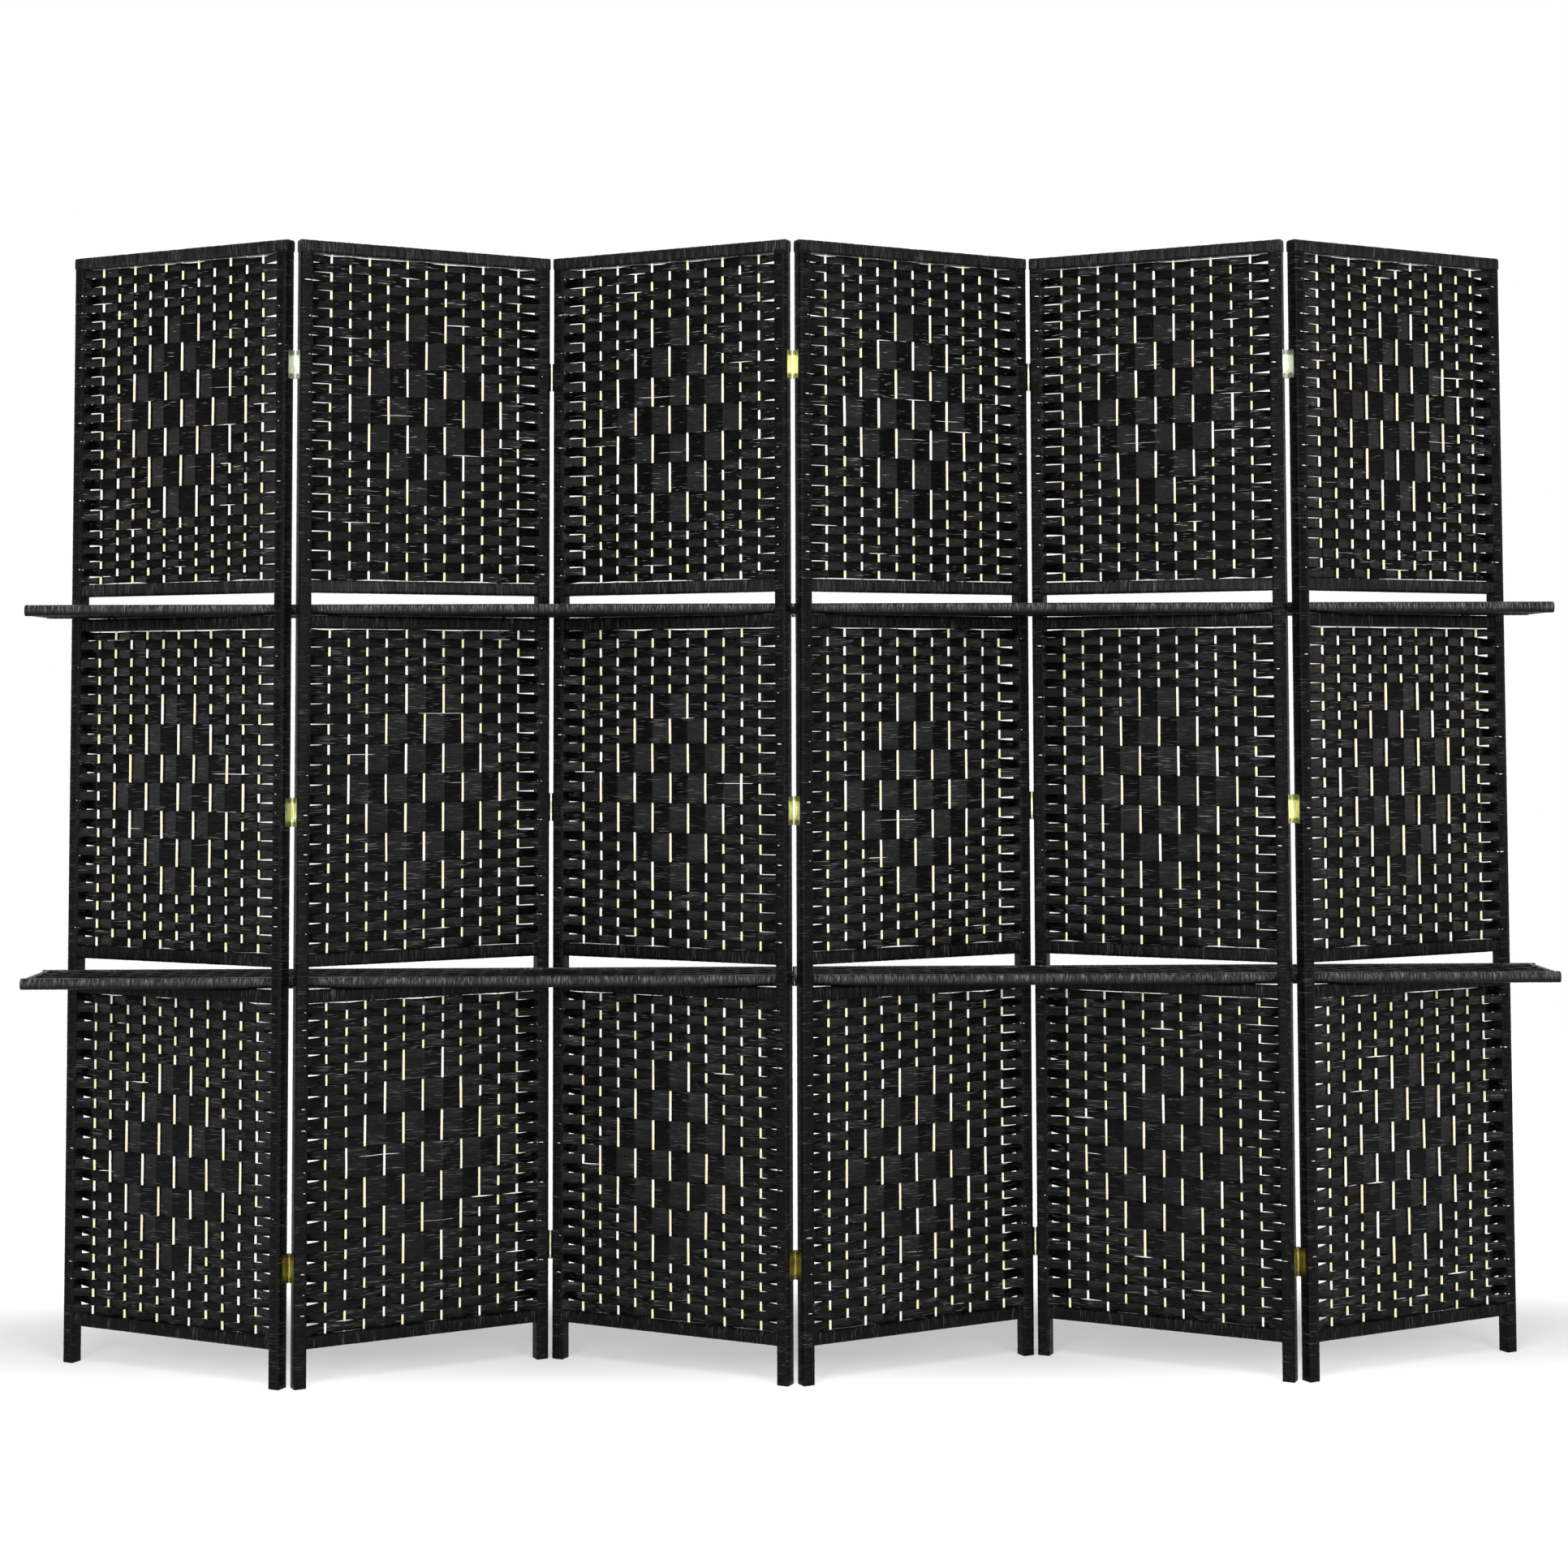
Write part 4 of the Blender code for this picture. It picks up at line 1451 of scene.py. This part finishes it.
@dataclass
class HingeScrews:
    """The two countersunk screws of one hinge leaf: low domed heads with a cross recess."""

    seam: int
    level: Level
    panel: int
    head_radius: float = 2.3 * MM
    proud: float = 0.5 * MM
    from_middle: float = 15.5 * MM
    recess_reach: float = 0.6  # how far the cross reaches, as a share of the radius
    recess_half_width: float = 0.13  # as a share of the radius too
    recess_depth: float = 0.75  # as a share of the height, like the next two
    rim_drop: float = 0.8  # how much lower the head is at its edge
    skirt: float = 0.5  # how far its edge goes on down into the leaf
    sharp_from: float = math.radians(40)
    sides: int = 24
    circles: tuple[float, ...] = (0.0, 0.14, 0.28, 0.42, 0.56, 0.74, 0.9, 1.0)

    def build(self) -> None:
        """Build both heads as one piece on the leaf's outer face."""
        heads = bmesh.new()
        for sign in (-1, 1):
            self._add_head(heads, sign)
        mesh = bpy.data.meshes.new("screws")
        heads.to_mesh(mesh)
        heads.free()
        mesh.shade_smooth()
        mesh.set_sharp_from_angle(angle=self.sharp_from)
        name = hinge_part(self.seam, self.level, self.panel, "screws")
        piece = show(name, mesh, SCREW.material())
        piece.matrix_world = panel_place(self.panel)
        settle(piece, f"panel_{self.panel}")

    def _centre(self, sign: int) -> Vector:
        """Find a head's centre on the leaf's outer face.

        Args:
            sign: 1 for the upper screw, -1 for the lower one.

        Returns:
            The centre, in the panel's frame.
        """
        right_end = self.seam == self.panel
        across = SIZES.panel_width + HINGE.leaf_face if right_end else -HINGE.leaf_face
        inside = HINGE.leaf_width / 2
        depth = SIZES.stile_depth - inside if self.seam % 2 == 1 else inside
        return Vector((across, depth, HINGE.levels[self.level] + sign * self.from_middle))

    def _add_head(self, heads: bmesh.types.BMesh, sign: int) -> None:
        """Add one head.

        Args:
            heads: The mesh that it goes to.
            sign: 1 for the upper screw, -1 for the lower one.
        """
        outward = 1 if self.seam == self.panel else -1
        centre = self._centre(sign)
        twist = 0.4 * self.seam + 0.9 * self.panel + sign
        rims: list[list[bmesh.types.BMVert]] = []
        for share in self.circles:
            rim = []
            for side in range(self.sides if share > 0 else 1):
                angle = 2 * math.pi * side / self.sides
                lift = self.proud * (1 - self.rim_drop * share * share)
                off_arm = min(abs(math.sin(angle)), abs(math.cos(angle))) * share
                if share < self.recess_reach and off_arm < self.recess_half_width:
                    lift -= self.proud * self.recess_depth
                spot = Vector((
                    outward * lift,
                    share * self.head_radius * math.cos(angle + twist),
                    share * self.head_radius * math.sin(angle + twist),
                ))
                rim.append(heads.verts.new(centre + spot))
            rims.append(rim)
        inward = Vector((outward * self.proud * self.skirt, 0, 0))
        skirt = [heads.verts.new(vert.co - inward) for vert in rims[-1]]
        rims.append(skirt)
        for inner, outer in zip(rims, rims[1:]):
            for side in range(self.sides):
                onward = (side + 1) % self.sides
                corners = [inner[side % len(inner)], outer[side], outer[onward]]
                if len(inner) > 1:
                    corners.append(inner[onward])
                heads.faces.new(corners[::outward])
        heads.faces.new(skirt[::-outward])


def hinge_part(seam: int, level: Level, panel: int, part: str) -> str:
    """Return the name of what a hinge has on one panel: odd panels hold the pin."""
    return f"hinge_{seam}{seam + 1}_{level.value}_{'pin' if panel % 2 else 'sleeve'}_{part}"


@dataclass(frozen=True)
class Lamp:
    """A soft rectangular lamp."""

    name: str
    place: tuple[float, float, float]
    size: tuple[float, float]  # its width and height
    power: float  # in watts

    def hang(self, aim: Vector) -> None:
        """Hang the lamp.

        Args:
            aim: The point that it shines at.
        """
        data = bpy.data.lights.new(self.name, "AREA")
        data.shape = "RECTANGLE"
        data.size, data.size_y = self.size
        data.energy = self.power
        lamp = bpy.data.objects.new(self.name, data)
        lamp.location = self.place
        heading = aim - Vector(self.place)
        lamp.rotation_euler = heading.to_track_quat("-Z", "Y").to_euler()
        bpy.context.scene.collection.objects.link(lamp)


@dataclass
class Studio:
    """A pale floor, a white surround, soft lamps and the camera."""

    floor_half_width: float = 4.0
    floor_colour: Colour = (0.455, 0.461, 0.457)
    floor_near: Colour = (0.385, 0.395, 0.39)  # its glow round the feet, dimmed there for a painted shadow, and further off
    floor_far: Colour = (0.94, 0.945, 0.94)
    surround: float = 0.30  # how much the surround lights the object
    aim_height: float = 0.85  # the lamps shine at the screen's middle
    lamps: tuple[Lamp, ...] = (
        Lamp("key", (-2.1, -4.4, 1.4), (2.0, 2.6), 122.0),
        Lamp("fill", (2.4, -4.2, 1.4), (2.0, 2.6), 116.0),
        Lamp("above", (0.0, -2.2, 3.6), (3.0, 1.2), 60.0),
        Lamp("left_edge", (-4.4, -0.15, 1.2), (1.0, 2.2), 18.0),
        Lamp("right_edge", (4.4, 0.0, 1.2), (1.0, 2.2), 18.0),
    )

    def build(self) -> None:
        """Set the stage."""
        self._floor()
        self._world()
        for lamp in self.lamps:
            lamp.hang(Vector((0, 0, self.aim_height)))
        self._camera()
        bpy.context.scene.view_settings.view_transform = "Standard"

    def _floor(self) -> None:
        """Lay the floor, white to the camera and still taking the shadow, with its glow dimmed
        round the feet as a painted shadow.
        """
        half = self.floor_half_width
        shape = bmesh.new()
        corners = [(-half, -half), (half, -half), (half, half), (-half, half)]
        shape.faces.new([shape.verts.new((x, y, 0)) for x, y in corners])
        mesh = bpy.data.meshes.new("floor")
        shape.to_mesh(mesh)
        shape.free()
        material, bench = new_bench("pale_floor")
        matte = bench.node("ShaderNodeBsdfDiffuse", None, {"Color": (*self.floor_colour, 1)})
        flattened = bench.coordinates("Object").vector("MULTIPLY", (0.15, 1.0, 0.0))
        behind = flattened.vector("SUBTRACT", (0.0, 0.2, 0.0))
        away = behind.vector("LENGTH", (0.0, 0.0, 0.0), output="Value")
        # Painted shadow: the glow is dimmer near and under the screen's feet
        white = bench.blend(away.between(0.09, 0.45), self.floor_near, self.floor_far)
        seen = self._seen(bench)
        glow = bench.node("ShaderNodeEmission", None, {"Color": white, "Strength": seen})
        bench.surface(bench.node("ShaderNodeAddShader", None, {0: matte, 1: glow}))
        show("floor", mesh, material)

    def _world(self) -> None:
        """Surround the scene with white, which mirrors see behind the screen only."""
        world = bpy.data.worlds.new("studio")
        bpy.context.scene.world = world
        world.use_nodes = True
        bench = ShaderBench(world.node_tree)
        behind = bench.coordinates("Generated").part("Y").between(-0.2, 0.05)
        camera = bench.node("ShaderNodeLightPath", output="Is Camera Ray")
        white = camera.at_least(self._seen(bench) * behind)
        strength = white * (1 - self.surround) + self.surround
        sky = bench.node(
            "ShaderNodeBackground", None, {"Color": (1, 1, 1, 1), "Strength": strength}
        )
        bench.surface(sky, "ShaderNodeOutputWorld")

    @staticmethod
    def _seen(bench: ShaderBench) -> Signal:
        """Find what the camera, a mirror or clear glass sees.

        Args:
            bench: The bench that the nodes are added on.

        Returns:
            1 for such a ray, and 0 for stray light.
        """
        seen = bench.node("ShaderNodeLightPath", output="Is Camera Ray")
        outputs = seen.socket.node.outputs
        for ray in ("Is Glossy Ray", "Is Transmission Ray"):
            seen = seen.at_least(Signal(bench, outputs[ray]))
        return seen

    @staticmethod
    def _camera() -> None:
        """Stand the camera where the photograph was taken from."""
        data = bpy.data.cameras.new("camera")
        data.lens = 61.170
        data.sensor_width = 36.0
        data.shift_y = -0.1454
        camera = bpy.data.objects.new("camera", data)
        heading = Matrix.Rotation(-0.01747, 4, "Z")
        pitch = Matrix.Rotation(math.pi / 2 + 0.05441, 4, "X")
        roll = Matrix.Rotation(-0.0030, 4, "Z")
        place = Matrix.Translation((-0.0835, -4.0720, 1.0056))
        camera.matrix_world = place @ heading @ pitch @ roll
        bpy.context.scene.collection.objects.link(camera)
        bpy.context.scene.camera = camera


def main() -> None:
    """Build the screen piece by piece round its solids."""
    logging.basicConfig(level=logging.INFO, format="%(message)s")
    for number in range(1, PANEL_COUNT + 1):
        Panel(number).build()
    for index, node in enumerate(sorted(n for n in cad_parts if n.startswith("shelf"))):
        ShelfBoard(node, 500 + 20 * index).build()
    for seam in range(1, PANEL_COUNT):
        for level in Level:
            tone = HINGE_TONES.get((seam, level), BrassTone.STRAW).value
            for panel in (seam, seam + 1):
                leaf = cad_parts[hinge_part(seam, level, panel, "leaf")]
                for slot in leaf.material_slots:
                    slot.material = tone.material()
                HingeScrews(seam, level, panel).build()
    Studio().build()


if __name__ == "__main__":
    main()
